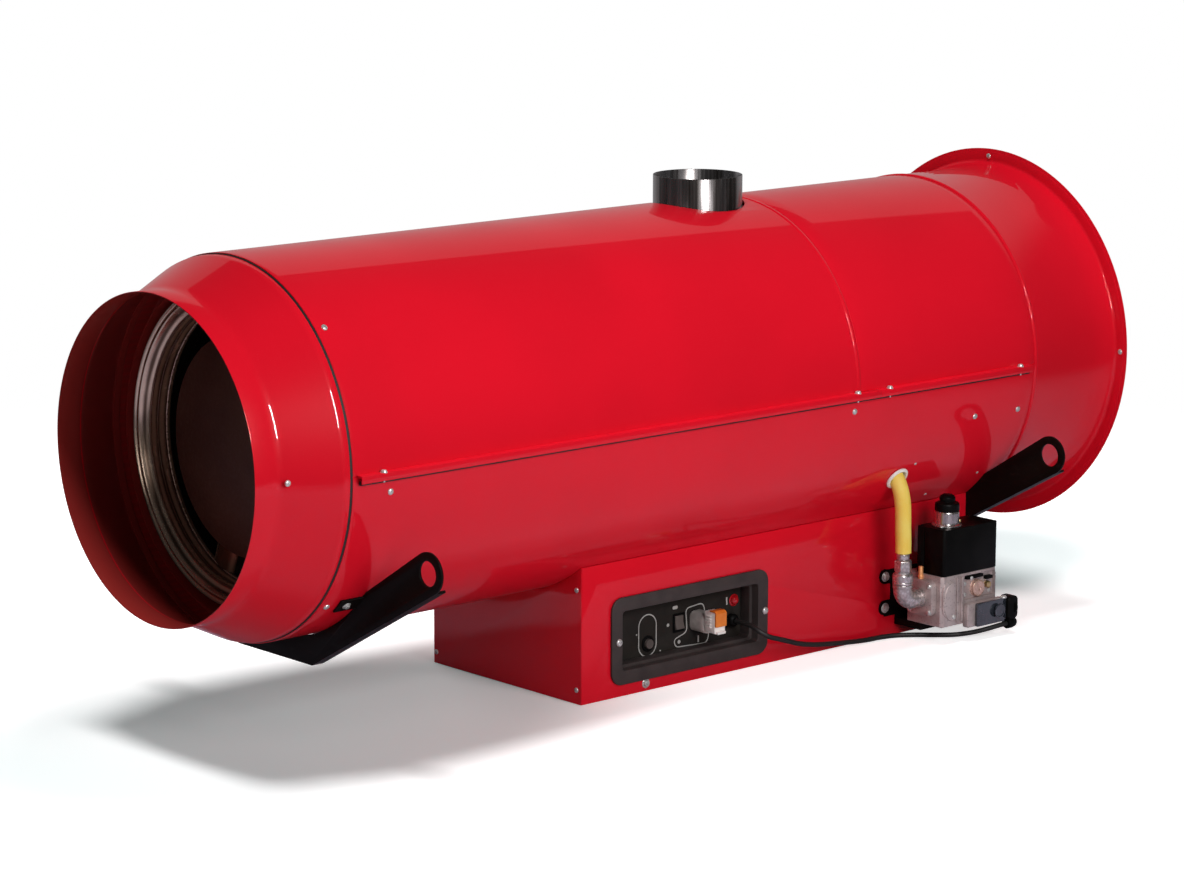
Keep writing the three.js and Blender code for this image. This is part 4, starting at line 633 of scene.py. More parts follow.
# the control cable: out of its gland, down to the floor and along it to the switch's plug, in metres
controlCable = {
    "diameter": 0.0085,
    "steps": 8,
    "route": [
        (-0.0866, -0.1653, 0.0776), (-0.0866, -0.183, 0.0776), (-0.0868, -0.203, 0.076),
        (-0.085, -0.2195, 0.0698), (-0.0725, -0.2292, 0.0606), (-0.051, -0.23, 0.0532),
        (-0.022, -0.2255, 0.0436), (0.006, -0.22, 0.0342), (0.04, -0.214, 0.0256), (0.074, -0.209, 0.0194),
        (0.12, -0.203, 0.0128), (0.16, -0.199, 0.0078), (0.196, -0.197, 0.0048), (0.228, -0.1985, 0.0045),
        (0.258, -0.207, 0.0045), (0.286, -0.226, 0.0045), (0.311, -0.249, 0.0045), (0.336, -0.271, 0.0052),
        (0.36, -0.289, 0.0086), (0.383, -0.302, 0.0134), (0.403, -0.3095, 0.0174), (0.414, -0.3109, 0.0184),
        (0.4236, -0.311, 0.0185),
    ],
}


def makeCable():
    path = smoothPath(controlCable["route"], controlCable["steps"])
    length = sum((after - before).length for before, after in zip(path, path[1:]))
    cable = tube("cable_to_valve", path, controlCable["diameter"] / 2 / milli, resolution=6)
    cable.data.materials.append(rubber)
    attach(cable, "heater")
    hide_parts("control_cable")
    print("stage: cable made,", round(length, 3), "m")


makeCable()


# screws: each kind is modelled once, standing on the origin and facing up, then copied into place

screw = {"head": 5.3, "rise": 2.6, "slot": 1.1, "recess": 1.2, "sink": 1.2, "hexHead": 5.2, "hexRise": 4.2,
         "washer": 7.4, "thread": 17, "shank": 2.1, "turn": 0.6}


def panScrew():
    head, rise, long = screw["head"], screw["rise"], screw["head"] * 1.1
    piece = turned("pan_screw", rounded([(-screw["sink"], head * 0.96), (0, head), (rise * 0.55, head * 0.93),
                                         (rise, head * 0.55), (rise, 0)], 1.0, 2), (0, 0, 0), zWay, 20)
    for wide, deep in ((screw["slot"], long), (long, screw["slot"])):
        low, high = (-wide / 2, -deep / 2, rise - screw["recess"]), (wide / 2, deep / 2, rise + 1)
        combine(piece, block("recess", low, high))
    return piece


def hexScrew():
    head, rise, wide = screw["hexHead"], screw["hexRise"], screw["washer"]
    nut = turned("hex_screw", [(0.6, head), (rise - 0.7, head), (rise, head * 0.86), (rise, 0)],
                 (0, 0, 0), zWay, 6)
    washer = turned("washer", [(-screw["sink"], wide), (0.5, wide), (0.9, wide - 0.6), (0.9, 0)],
                    (0, 0, 0), zWay, 24)
    return joined("hex_screw", [softenEdges(nut, 0.25, 2), washer])


def seamScrew():
    # its thread reaches down through both flanges of the seam
    head, end, shank = screw["head"], screw["thread"], screw["shank"]
    return turned("seam_screw", rounded([(-end, 1.7), (-end + 0.6, shank), (-1, shank), (-1, head + 1),
                                         (0.6, head + 1), (1, head), (3.4, head * 0.94), (4.6, head * 0.5),
                                         (4.6, 0)], 0.7, 2), (0, 0, 0), zWay, 20)


screwModels = {"pan": panScrew(), "hex": hexScrew(), "seam": seamScrew()}


def fix(name, kind, place, way, size=1.0, finish=zinc):
    way = Vector(way).normalized()
    move = (Matrix.Translation(point(*place)) @ way.to_track_quat("Z", "Y").to_matrix().to_4x4()
            @ Matrix.Rotation(screw["turn"], 4, "Z") @ Matrix.Scale(size, 4))
    settle(copied(screwModels[kind], name, move), finish, "zinc", angle=32)


def fixRow(name, kind, places, way, size=1.0, finish=zinc):
    for i, place in enumerate(places):
        fix("%s_%d" % (name, i + 1), kind, place, way, size, finish)


def fixPairs(kind, spots, *sides):
    # a screw at each spot across the tunnel, on each side: name, place along it, way and size
    for i, spot in enumerate(spots):
        for name, x, way, size in sides:
            fix("%s_%d" % (name, i + 1), kind, (x, *spot), way, size)


def around(radius, degrees):
    # a point round the tunnel; the angle is counted up from the near side
    angle = math.radians(degrees)
    return -radius * math.cos(angle), axisHeight + radius * math.sin(angle)


def outward(degrees):
    angle = math.radians(degrees)
    return Vector((0, -math.cos(angle), math.sin(angle)))


def fixRound(name, kind, x, reach, degrees, size=1.0):
    fix(name, kind, (x, *around(reach, degrees)), outward(degrees), size)


# the tunnel's sheets

tunnel = {
    "front": -999, "joint": 64, "gap": 0.6, "rear": 491, "sides": 144, "play": 0.3,
    "top": 3.5, "tip": 311, "hem": 12, "frontSetback": 8, "rearSetback": 16, "lap": 38,
    "swage": [(1, -0.6), (1, 0.4), (2.5, 1.3), (6.5, 1.3), (8.5, 0.3), (9, -0.6), (1, -0.6)],
}
flue = {"x": -27, "radius": 75, "wall": 1.2, "top": 806.6, "hole": 79, "bottom": 700, "bore": 73.5,
        "margin": 6, "edge": 0.6, "ease": 0.4, "cut": (600, 900), "drumCut": (640, 900), "saddle": 90}
# the seam's black strips are painted shade; the cone's joint seal fills its joint
seals = {"setback": 3, "below": 3, "above": 2.5, "inset": 0.4, "jointPlay": 0.1, "coneRise": 1.3,
         "shellRise": 0.7}
grommet = {
    "x": 207, "angle": -34, "hole": 18.9, "cut": (-24, 36), "slack": (180, 234),
    "line": [(-4, 16.2), (-4, 18.6), (0.2, 18.6), (0.2, 21.6), (2.6, 22), (4.6, 20), (5, 17.4), (4.2, 16.2),
             (-4, 16.2)],
}


def cover(name, stations, flangeSpan, upper=True, arcEnd=None):
    line = tunnel["top"] if upper else tunnel["top"] - sheet * 2 - tunnel["play"]
    tip = tunnel["tip"] if upper else tunnel["tip"] - sheet - tunnel["play"]
    first = stations[0]
    deselectAll()
    bpy.ops.mesh.primitive_circle_add(vertices=tunnel["sides"], radius=bodyRadius * milli,
                                      fill_type="NOTHING", location=point(first, 0, axisHeight),
                                      rotation=(0, math.pi / 2, 0))
    piece = applyPlace(named(name))
    edit(piece)
    bpy.ops.mesh.bisect(plane_co=point(first, 0, axisHeight + line), plane_no=zWay,
                        clear_inner=upper, clear_outer=not upper)
    out = tip - math.sqrt(bodyRadius ** 2 - line ** 2)
    for side in (-1, 1):
        pick(piece.data.vertices, "VERT", lambda corner: corner.co.y * side > 0 and
             abs(corner.co.z / milli - axisHeight - line) < 0.01)
        bpy.ops.mesh.extrude_vertices_move(TRANSFORM_OT_translate={"value": point(0, side * out, 0)})
        if upper:
            bpy.ops.mesh.extrude_vertices_move(TRANSFORM_OT_translate={"value": point(0, 0, -tunnel["hem"])})
    bpy.ops.mesh.select_mode(type="EDGE")
    bpy.ops.mesh.select_all(action="SELECT")
    for before, after in zip(stations, stations[1:]):
        bpy.ops.mesh.extrude_edges_move(TRANSFORM_OT_translate={"value": point(after - before, 0, 0)})
    low, high = flangeSpan
    arcEnd = arcEnd or stations[-1]

    def spare(face):
        # beyond the flange's ends, or beyond the end of the arc
        middle = face.center / milli
        if abs(middle.y) > bodyRadius or middle.z < axisHeight + line - 0.01 and upper:
            return middle.x < low or middle.x > high
        return middle.x > arcEnd

    pick(piece.data.polygons, "FACE", spare)
    bpy.ops.mesh.delete(type="FACE")
    bpy.ops.mesh.select_all(action="SELECT")
    bpy.ops.mesh.normals_make_consistent(inside=False)
    leave()
    face = max(piece.data.polygons, key=lambda one: abs(one.center.z - axisHeight * milli))
    if face.normal.z * (face.center.z - axisHeight * milli) < 0:
        edit(piece)
        bpy.ops.mesh.flip_normals()
        leave()
    return applyModifier(piece, "SOLIDIFY", thickness=sheet * milli, offset=-1, use_even_offset=True)


def makeCovers():
    front, joint, rear = tunnel["front"], tunnel["joint"], tunnel["rear"]
    flangeStart, flangeEnd = front + tunnel["frontSetback"], rear - tunnel["rearSetback"]
    clear = flue["hole"] + flue["margin"]
    near, far = flue["x"] - clear, flue["x"] + clear
    lapEnd = joint + tunnel["lap"]
    upper = cover("cover_front_upper", [front, flangeStart, near, far, joint, lapEnd],
                  (flangeStart, lapEnd), arcEnd=joint)
    drill(upper, flue["hole"], flue["cut"], (flue["x"], 0, 0), zWay, 96)
    settle(softenEdges(upper, 0.4, 2, 50), red, "red_paint", "front_upper_cover")
    start = joint + tunnel["gap"]
    back = cover("cover_rear_upper", [start, lapEnd + tunnel["gap"], flangeEnd, rear],
                 (lapEnd + tunnel["gap"], flangeEnd))
    settle(softenEdges(back, 0.4, 2, 50), red, "red_paint", "rear_upper_cover")
    lower = cover("shell_lower", [front, flangeStart, *grommet["slack"], flangeEnd, rear],
                  (flangeStart, flangeEnd), upper=False)
    place = (grommet["x"], *around(bodyRadius, grommet["angle"]))
    drill(lower, grommet["hole"], grommet["cut"], place, outward(grommet["angle"]), 48)
    settle(softenEdges(lower, 0.4, 2, 50), red, "red_paint", "lower_shell")
    swage = turned("joint_swage", [(joint - across, bodyRadius + rise) for across, rise in tunnel["swage"]],
                   sides=tunnel["sides"], capped=False)
    edit(swage)
    bpy.ops.mesh.bisect(plane_co=point(0, 0, axisHeight + tunnel["top"] + 2), plane_no=zWay,
                        clear_inner=True, use_fill=True)
    cleanNormals()
    leave()
    settle(swage, red, "red_paint")
    line = tunnel["top"] - tunnel["hem"]
    # painted shade: a black strip under each hem stands in for the shadow in the gap beneath it
    for side, name in ((-1, "seam_shadow_strip_near"), (1, "seam_shadow_strip_far")):
        near, far = sorted((side * (bodyRadius - seals["inset"]), side * (tunnel["tip"] - sheet * 2 - 1)))
        seal = block(name, (flangeStart + seals["setback"], near, axisHeight + line - seals["below"]),
                     (flangeEnd - seals["setback"], far, axisHeight + line + seals["above"]))
        settle(softenEdges(seal, 0.5, 2), rubber, "black_rubber")
    print("stage: covers made")


makeCovers()


def spun(name, line):
    # a closed ring from the line of its section
    return turned(name, line, sides=tunnel["sides"], capped=False)


cone = {"rim": -1143.5, "collar": -1100.5, "land": -1012, "end": -1002, "rimRadius": 255, "radius": 297.5,
        "bend": 9}
endRing = {"nose": -1011, "web": -974, "lip": -1008, "bore": 263, "outerBend": 2.2, "innerBend": 1.2}
# the outlet's red, with painted shade on the cone's inner face
outletShadedRed = redPaint("red paint, painted shade inside",
                     ((cone["collar"], cone["rimRadius"]), (cone["land"], cone["radius"])))


def makeOutlet():
    line = rounded([(cone["rim"], cone["rimRadius"]), (cone["collar"], cone["rimRadius"]),
                    (cone["land"], cone["radius"]), (cone["end"], cone["radius"])], cone["bend"], 6)
    inner = [(x, radius - sheet) for x, radius in reversed(line)]
    piece = spun("cone_outlet", [*line, *inner, line[0]])
    settle(softenEdges(piece, 0.5, 2), outletShadedRed, "red_paint", "outlet_cone")
    coneLand = cone["radius"] - sheet - tunnel["play"]
    land = bodyRadius - sheet - tunnel["play"]
    step = tunnel["front"] - sheet
    web, lip, bore = endRing["web"], endRing["lip"], endRing["bore"]
    outer = rounded([(endRing["nose"], coneLand), (step, coneLand), (step, land), (web + sheet, land),
                     (web + sheet, bore), (lip, bore)], endRing["outerBend"], 3)
    inner = rounded([(lip, bore + sheet), (web, bore + sheet), (web, land - sheet),
                     (step + sheet, land - sheet), (step + sheet, coneLand - sheet),
                     (endRing["nose"], coneLand - sheet)], endRing["innerBend"], 3)
    settle(spun("ring_outlet", [*outer, *inner, outer[0]]), outletShadedRed, "red_paint", "front_ring")
    low, high = cone["end"] + seals["jointPlay"], tunnel["front"] - seals["jointPlay"]
    seal = spun("joint_seal", [(low, coneLand), (low, coneLand + seals["coneRise"]),
                               (high, land + seals["shellRise"]), (high, land), (low, coneLand)])
    settle(seal, rubber, "black_rubber")


makeOutlet()

shroud = {
    "spigot": 449, "step": 491.3, "flare": 638.8, "turn": 690.8, "end": 694.8,
    "mouth": 309, "flange": 328, "bend": 9, "steps": 12,
    "bead": [(0, 0), (0.8, 1.2), (2.2, 2.1), (4, 2.4), (5.8, 2.1), (7.2, 1.2), (8, 0)],
}


def makeShroud():
    land = bodyRadius - sheet - tunnel["play"]
    flare = []
    for i in range(shroud["steps"] + 1):
        share = i / shroud["steps"]
        x = shroud["flare"] + (shroud["turn"] - shroud["flare"]) * share
        flare.append((x, bodyRadius + (shroud["mouth"] - bodyRadius) * share * share))
    end, rim = shroud["end"], shroud["flange"]
    bend = rounded([flare[-3], (end - sheet, shroud["mouth"]), (end - sheet, rim)], shroud["bend"], 8)[1:]
    back = rounded([(end, rim), (end, shroud["mouth"] - sheet), (flare[-3][0], flare[-3][1] - sheet)],
                   shroud["bend"], 8)[:-1]
    bead = [(shroud["step"] + across, bodyRadius + rise) for across, rise in shroud["bead"]]
    outer = [(shroud["step"], land), *bead, *flare[:-2], *bend]
    inside = [(x, radius - sheet) for x, radius in reversed(flare[:-2])]
    spigot, step = shroud["spigot"], shroud["step"] + sheet
    line = [(spigot, land), *outer, *back, *inside, (step, bodyRadius - sheet), (step, land - sheet),
            (spigot, land - sheet), (spigot, land)]
    settle(softenEdges(spun("shroud_intake", line), 0.5, 2, 50), red, "red_paint", "intake_shroud")


makeShroud()

guard = {"rimX": 695.1, "thick": 2, "bore": 304, "radius": 333, "wireX": 698.5, "wire": 2.4,
         "rings": (70, 120, 170, 220, 270), "spokes": 6, "spokeStart": 30, "spoke": 2.0, "spokeEnd": 318}


def makeGuard():
    x0, x1 = guard["rimX"], guard["rimX"] + guard["thick"]
    rim = spun("guard_rim", [(x0, guard["bore"]), (x0, guard["radius"]), (x1, guard["radius"]),
                             (x1, guard["bore"]), (x0, guard["bore"])])
    settle(softenEdges(rim, 0.5, 2), red, "red_paint", "fan_guard")
    wires = [ringWire("ring_wire", guard["wireX"], radius, guard["wire"], 96) for radius in guard["rings"]]
    for i in range(guard["spokes"]):
        way = outward(guard["spokeStart"] + 360 * i / guard["spokes"])
        first = guard["rings"][0]
        centre = (guard["wireX"], way.y * first, axisHeight + way.z * first)
        length = guard["spokeEnd"] - first
        wires.append(turned("spoke", [(0, guard["spoke"]), (length, guard["spoke"])], centre, way, 12))
    settle(joined("guard_wires", wires), red, "red_paint", "fan_guard")
    print("stage: outlet, shroud and guard made")


makeGuard()


# what shows in the outlet: the exchanger's pressed front and the chamber's dome

exchanger = {
    "front": -1005, "rear": 58, "outer": 253, "inner": 219.5, "wall": 1.5, "depth": 20,
    "duct": {"x": -920, "radius": 43.5, "angle": -112, "start": 90, "end": 236}, "beads": (-993, -979, -962),
    "bead": 1.5, "beadRise": 0.4,
    "cap": [(0.25, 1), (0, 0.88), (0.2, 0.74), (0.05, 0.58), (0.4, 0.4), (0.72, 0.15), (0.7, 0)],
}


def cutDuct(piece, end):
    # the opening for the duct between the chamber and the exchanger
    duct = exchanger["duct"]
    drill(piece, duct["radius"], (duct["start"], end), (duct["x"], 0, axisHeight), outward(duct["angle"]), 48)


def makeExchanger():
    front, rear, outer, inner = (exchanger[key] for key in ("front", "rear", "outer", "inner"))
    width = outer - inner
    cap = [Vector((front + depth * exchanger["depth"], inner + share * width, 0))
           for depth, share in exchanger["cap"]]
    line = [(spot.x, spot.y) for spot in smoothPath(cap, 4)]
    line = [(rear, outer), *line, (rear, inner), (rear, outer)]
    piece = spun("exchanger_drum", line)
    applyModifier(piece, "SOLIDIFY", thickness=exchanger["wall"] * milli, offset=-1)
    drill(piece, flue["bore"], flue["drumCut"], (flue["x"], 0, 0), zWay, 64)
    cutDuct(piece, exchanger["duct"]["end"])
    settle(piece, exchangerSteel, "stainless", "heat_exchanger", angle=50)
    for i, (x, finish) in enumerate(zip(exchanger["beads"], (exchangerSteel, exchangerSteel, beadSteel))):
        bead = ringWire("exchanger_bead_%d" % (i + 1), x, inner + exchanger["beadRise"], exchanger["bead"],
                        tunnel["sides"])
        settle(bead, finish, "stainless")


chamber = {"front": -978, "rear": 40, "radius": 173, "dome": 20, "steps": 14, "wall": 2, "ductEnd": 190}


def makeChamber():
    shell = []
    for i in range(chamber["steps"] + 1):
        angle = math.pi / 2 * (1 - i / chamber["steps"])
        x = chamber["front"] - chamber["dome"] * math.cos(angle) ** 2
        shell.append((x, chamber["radius"] * math.sin(angle)))
    shell = [(chamber["rear"], chamber["radius"]), *shell]
    piece = turned("chamber_drum", shell, sides=128, capped=False)
    applyModifier(piece, "SOLIDIFY", thickness=chamber["wall"] * milli, offset=-1)
    cutDuct(piece, chamber["ductEnd"])
    settle(piece, scorched, "scorched_steel", "combustion_chamber", angle=50)
    print("stage: exchanger and chamber made")


makeExchanger()
makeChamber()


def makeFlue():
    outer, inner = flue["radius"], flue["radius"] - flue["wall"]
    bottom, top = flue["bottom"], flue["top"]
    edge, ease = top - flue["edge"], flue["ease"]
    line = [(bottom, outer), (edge, outer), (top, outer - ease), (top, inner + ease), (edge, inner),
            (bottom, inner), (bottom, outer)]
    pipe = turned("flue_pipe", line, (flue["x"], 0, 0), zWay, 128, capped=False)
    drill(pipe, exchanger["outer"] + tunnel["play"], (flue["x"] - flue["saddle"], flue["x"] + flue["saddle"]),
          (0, 0, axisHeight), xWay, tunnel["sides"])
    settle(pipe, flueSteel, "stainless", "flue_collar", angle=50)


makeFlue()

# hanging brackets: a plate with an arm each side, a flange below and tabs on the shell

bracket = {
    "thick": 4, "hole": (375, -142), "holeRadius": 19.5, "end": 32.7, "vertex": (94, -335), "rootY": 227,
    "flange": 22, "tab": 45.2, "tabHalf": 2.7, "tabThick": 3, "inner": bodyRadius + 0.3,
    "front": (-921, -963, 42), "rear": (450.3, 454.29, 34), "endSteps": 24, "topSteps": 48, "tabSteps": 8,
}


def bracketOutline():
    root = bracket["inner"]
    hole, vertex = Vector(bracket["hole"]), Vector(bracket["vertex"])
    line = hole - vertex
    slope = math.atan2(line.y, line.x) - math.asin(bracket["end"] / line.length)
    rootAngle = -math.acos(bracket["rootY"] / root)
    rootSpot = Vector((bracket["rootY"], root * math.sin(rootAngle)))
    rise = hole - rootSpot
    upper = math.atan2(rise.y, rise.x) + math.asin(bracket["end"] / rise.length)
    end = arc(hole, bracket["end"], slope - math.pi / 2, upper + math.pi - slope, bracket["endSteps"])
    right = [tuple(vertex), *end, tuple(rootSpot)]
    left = [(-y, z) for y, z in reversed(right)]
    top = arc((0, 0), root, rootAngle, -math.pi - 2 * rootAngle, bracket["topSteps"])
    return [*right, *top[1:-1], *left], slope, end[0]


def makeBracket(name, node, x, tabX, tabLength):
    # the plate, then on each side its folded flange and hole, then the tabs that lie on the shell
    outline, slope, tip = bracketOutline()
    origin = (x, 0, axisHeight)
    piece = prism(name, outline, origin, yWay, zWay, bracket["thick"])
    thick, vertex = bracket["thick"], bracket["vertex"]
    lift = (-thick * math.sin(slope), thick * math.cos(slope))
    for side in (-1, 1):
        edge = [vertex, tip, (tip[0] + lift[0], tip[1] + lift[1]), (vertex[0] + lift[0], vertex[1] + lift[1])]
        edge = [(side * y, z) for y, z in edge][::side]
        combine(piece, prism("flange", edge, origin, yWay, zWay, bracket["flange"]), "UNION")
        y, z = bracket["hole"]
        drill(piece, bracket["holeRadius"], (-10, 10), (x, side * y, axisHeight + z), xWay, 64)
    for side in (-1, 1):
        first, turn = math.radians(-bracket["tab"] - bracket["tabHalf"]), math.radians(2 * bracket["tabHalf"])
        inner, outer = (arc((0, 0), radius, first, turn, bracket["tabSteps"])
                        for radius in (bracket["inner"], bracket["inner"] + bracket["tabThick"]))
        tab = [(side * y, z) for y, z in [*outer, *inner[::-1]]][::side]
        combine(piece, prism("tab", tab, (tabX, 0, axisHeight), yWay, zWay, tabLength + 0.01), "UNION")
    settle(softenEdges(piece, 0.6, 2, 40), black, "black_paint", node)


makeBracket("bracket_front", "front_bracket", *bracket["front"])
makeBracket("bracket_rear", "rear_bracket", *bracket["rear"])
print("stage: flue and brackets made")

# the control box and its panels: folded sheet with eased edges

dress("box_pan", (0.6, 2, 50), red, "red_paint")
dress("box_front_panel", (0.5, 2, 50), red, "red_paint")
dress("box_rear_panel", (0.5, 2, 50), red, "red_paint")

# the panel: its bezel, plate, marks and controls

panel = {
    "face": -190, "plate": -152, "screwSize": 1.2,
    "screws": (("panel_screw_left", -371.6, 91.5), ("panel_screw_right", -43, 93)),
}
marks = {
    "sink": 0.12, "flatten": 0.1, "width": 0.95,
    "oval": {"x": -275, "z": 81, "radius": 19.5, "lift": 15.5, "steps": 48},
    "flag": [(-189.6, 113), (-150, 116.8), (-136, 62), (-141, 47), (-212, 50.6), (-216, 64), (-186, 73)],
    "flagEase": 9,
    "strokes": (("mark_lamp", [(-96, 117.5), (-95.6, 104.5)], 1.5),
                ("mark_socket", [(-160.4, 62.5), (-160.4, 51)], 1.6)),
    "dots": (("mark_dot_left", -299.3, 85.9, 1.3), ("mark_dot_low", -246.5, 50.8, 1.4),
             ("mark_on", -229.2, 90.9, 2.8), ("mark_flag", -204, 58.7, 3.2)),
    "top": {"low": (-219, 115.6), "high": (-208, 121), "thick": 0.3, "corner": 2},
}
controls = {
    "button": {
        "place": (-274.4, 67.3),
        "line": [(-3, 8.2), (5.2, 8.2), (5.8, 7.9), (6, 7.2), (5.6, 6.2), (5.3, 4), (5.2, 0)],
        "nut": [(0, 13.5), (2.2, 13.5), (2.2, 9), (0.2, 8.9)],
    },
    "ribs": {"count": 5, "near": (-184, -206), "far": (-181.9, -192.5), "low": 88, "step": 4.6, "tall": 2.2},
    "lamp": {
        "place": (-80.4, 110.4), "collar": [(0, 8.3), (0, 10.5), (1.5, 10.5), (1.6, 8.4)],
        "start": 1.6, "rise": 7.4, "radius": 8.3, "tip": 9,
    },
    "gland": {
        "place": (-86.6, 77.6),
        "line": [(-3, 4.7), (-3, 7.7), (0.3, 7.7), (0.3, 11), (9, 11), (13, 7.7), (13, 4.7), (-3, 4.7)],
    },
    "spare": {"place": (-99.6, 74.5), "line": [(0, 8.5), (5, 8.5), (7.2, 5.5), (7.2, 0)]},
}


def makeBezel():
    dress("control_bezel", (1.2, 3, 50), darkPlastic, "dark_plastic")
    dress("control_plate", (0.3, 2, 60), plateBlack, "dark_plastic")
    for name, x, z in panel["screws"]:
        fix(name, "pan", (x, panel["face"], z), -yWay, panel["screwSize"])


def onPlate(name, line, ease, place, *rest, **settings):
    # a turned piece that stands on the plate and faces the user
    lathe(name, line, ease, (place[0], panel["plate"], place[1]), -yWay, *rest, **settings)


def marking(name, corners, width, closed=True):
    # a printed line: a thin round bead pressed flat on the plate
    level = panel["plate"] - marks["sink"]
    bead = meshTube(name, [point(x, level, z) for x, z in corners], width, closed, 2)
    edit(bead)
    bpy.ops.transform.resize(value=(1, marks["flatten"], 1), center_override=point(0, level, 0))
    leave()
    settle(bead, printed, "dark_plastic")


def makeMarks():
    oval = marks["oval"]
    ring = []
    for i in range(oval["steps"]):
        angle = math.tau * i / oval["steps"]
        lift = oval["lift"] if math.sin(angle) > 0 else -oval["lift"]
        ring.append((oval["x"] + oval["radius"] * math.cos(angle),
                     oval["z"] + lift + oval["radius"] * math.sin(angle)))
    marking("mark_reset", ring, marks["width"])
    flag = marks["flag"]
    eased = rounded([*flag, flag[0], flag[1]], marks["flagEase"], 5)[1:-1]
    marking("mark_thermostat", eased, marks["width"])
    for name, corners, width in marks["strokes"]:
        marking(name, corners, width, closed=False)
    for name, x, z, radius in marks["dots"]:
        line = [(0, radius), (0.25, radius * 0.97), (0.3, 0)]
        onPlate(name, line, None, (x, z), 20, printed, "dark_plastic")
    top = marks["top"]
    (left, bottom), (right, high) = top["low"], top["high"]
    bar = block("mark_top", (left, panel["plate"] - top["thick"], bottom), (right, panel["plate"], high),
                top["corner"], yWay)
    settle(bar, printed, "dark_plastic")


def makeControls():
    button, ribs, pilot = controls["button"], controls["ribs"], controls["lamp"]
    onPlate("button_reset", button["line"], None, button["place"], 48, brownPlastic, "dark_plastic",
            "reset_button", body="button")
    onPlate("button_nut", button["nut"], (0.8, 3), button["place"], 48, blackPlastic, "dark_plastic",
            capped=False)
    dress("rocker_frame", (0.5, 2, 50), blackPlastic, "dark_plastic")
    dress("rocker_cap", (0.5, 2, 12), brownPlastic, "black_plastic", "rocker")
    dress("thermostat_socket", (2.2, 4, 50), greyPlastic, "grey_plastic")
    dress("thermostat_plug", (1.2, 3, 50), whitePlastic, "white_plastic", "plug")
    dress("plug_latch", (0.9, 3, 40), orangePlastic, "orange_plastic", "latch")
    for i in range(ribs["count"]):
        z = ribs["low"] + i * ribs["step"]
        rib = block("plug_rib_%d" % i, (*ribs["near"], z), (*ribs["far"], z + ribs["tall"]))
        settle(softenEdges(rib, 0.4, 2), whitePlastic, "white_plastic", body="plug")
    dome = arc((pilot["start"], 0), pilot["rise"], math.pi / 2, -math.pi * 7 / 16, 7, pilot["radius"])
    line = [*rounded(pilot["collar"], 0.5, 2), *dome, (pilot["tip"], 0)]
    onPlate("lamp_pilot", line, None, pilot["place"], 40, redLens, "red_lens", "pilot_lamp")
    gland, spare = controls["gland"], controls["spare"]
    onPlate("gland_cable", gland["line"], (0.9, 2), gland["place"], 36, blackPlastic, "black_rubber",
            "cable_gland", capped=False)
    onPlate("gland_spare", spare["line"], (1, 2), spare["place"], 36, blackPlastic, "black_rubber")


makeBezel()
makeMarks()
makeControls()
print("stage: control panel made")


# the gas train: valve, cover, damper, switch, elbow, union, hose and grommet

valve = {
    "face": -297, "floor": -290, "pocket": (329, 407, 71.5, 114.5), "pocketCorner": 3,
    "ribs": ((309, 312.5), (320.5, 325.5)), "ribRise": 2.6, "ribSpan": (36, 114),
    "pad": {"right": 306, "bulge": 23, "middle": 74, "half": 34, "inset": 6, "thick": 4, "steps": 16},
    "groove": ((270, -251.8, 110), (278.6, -249.6, 205)),
}
damper = {
    "place": (317, -264.5, 200.6), "base": 25.3, "wall": 0.9,
    "barrel": [(0, 26), (2.2, 26), (3.6, 21.2), (6, 21), (22.5, 21), (25, 20.2), (25, 8), (37, 8), (37, 0)],
    "cap": [(0, 8.6), (0, 20.4), (2, 21.2), (11, 21.3), (14.2, 20), (16, 14.2), (17.4, 12.6), (18.6, 13.6),
            (23, 13.8), (26, 11.6), (28.2, 8.6), (29, 4), (29, 0)],
}
switch = {
    "bottom": 27, "top": 68, "short": 4, "corner": 9, "middle": 47, "collarBack": 13,
    "dialX": 396, "dialSink": 1.5,
    "collar": [(0, 12), (0, 15), (5, 15), (5, 12)], "glandPlace": (422.5, -311, 19.5),
    "gland": [(0, 9), (0.6, 10.5), (12, 10.5), (13, 9.4), (17.5, 9.2), (21, 6.6), (22, 4)],
    "dial": [(0, 12.5), (1.6, 12.5), (2.2, 10.5), (1.2, 9.5), (1.2, 0)],
}


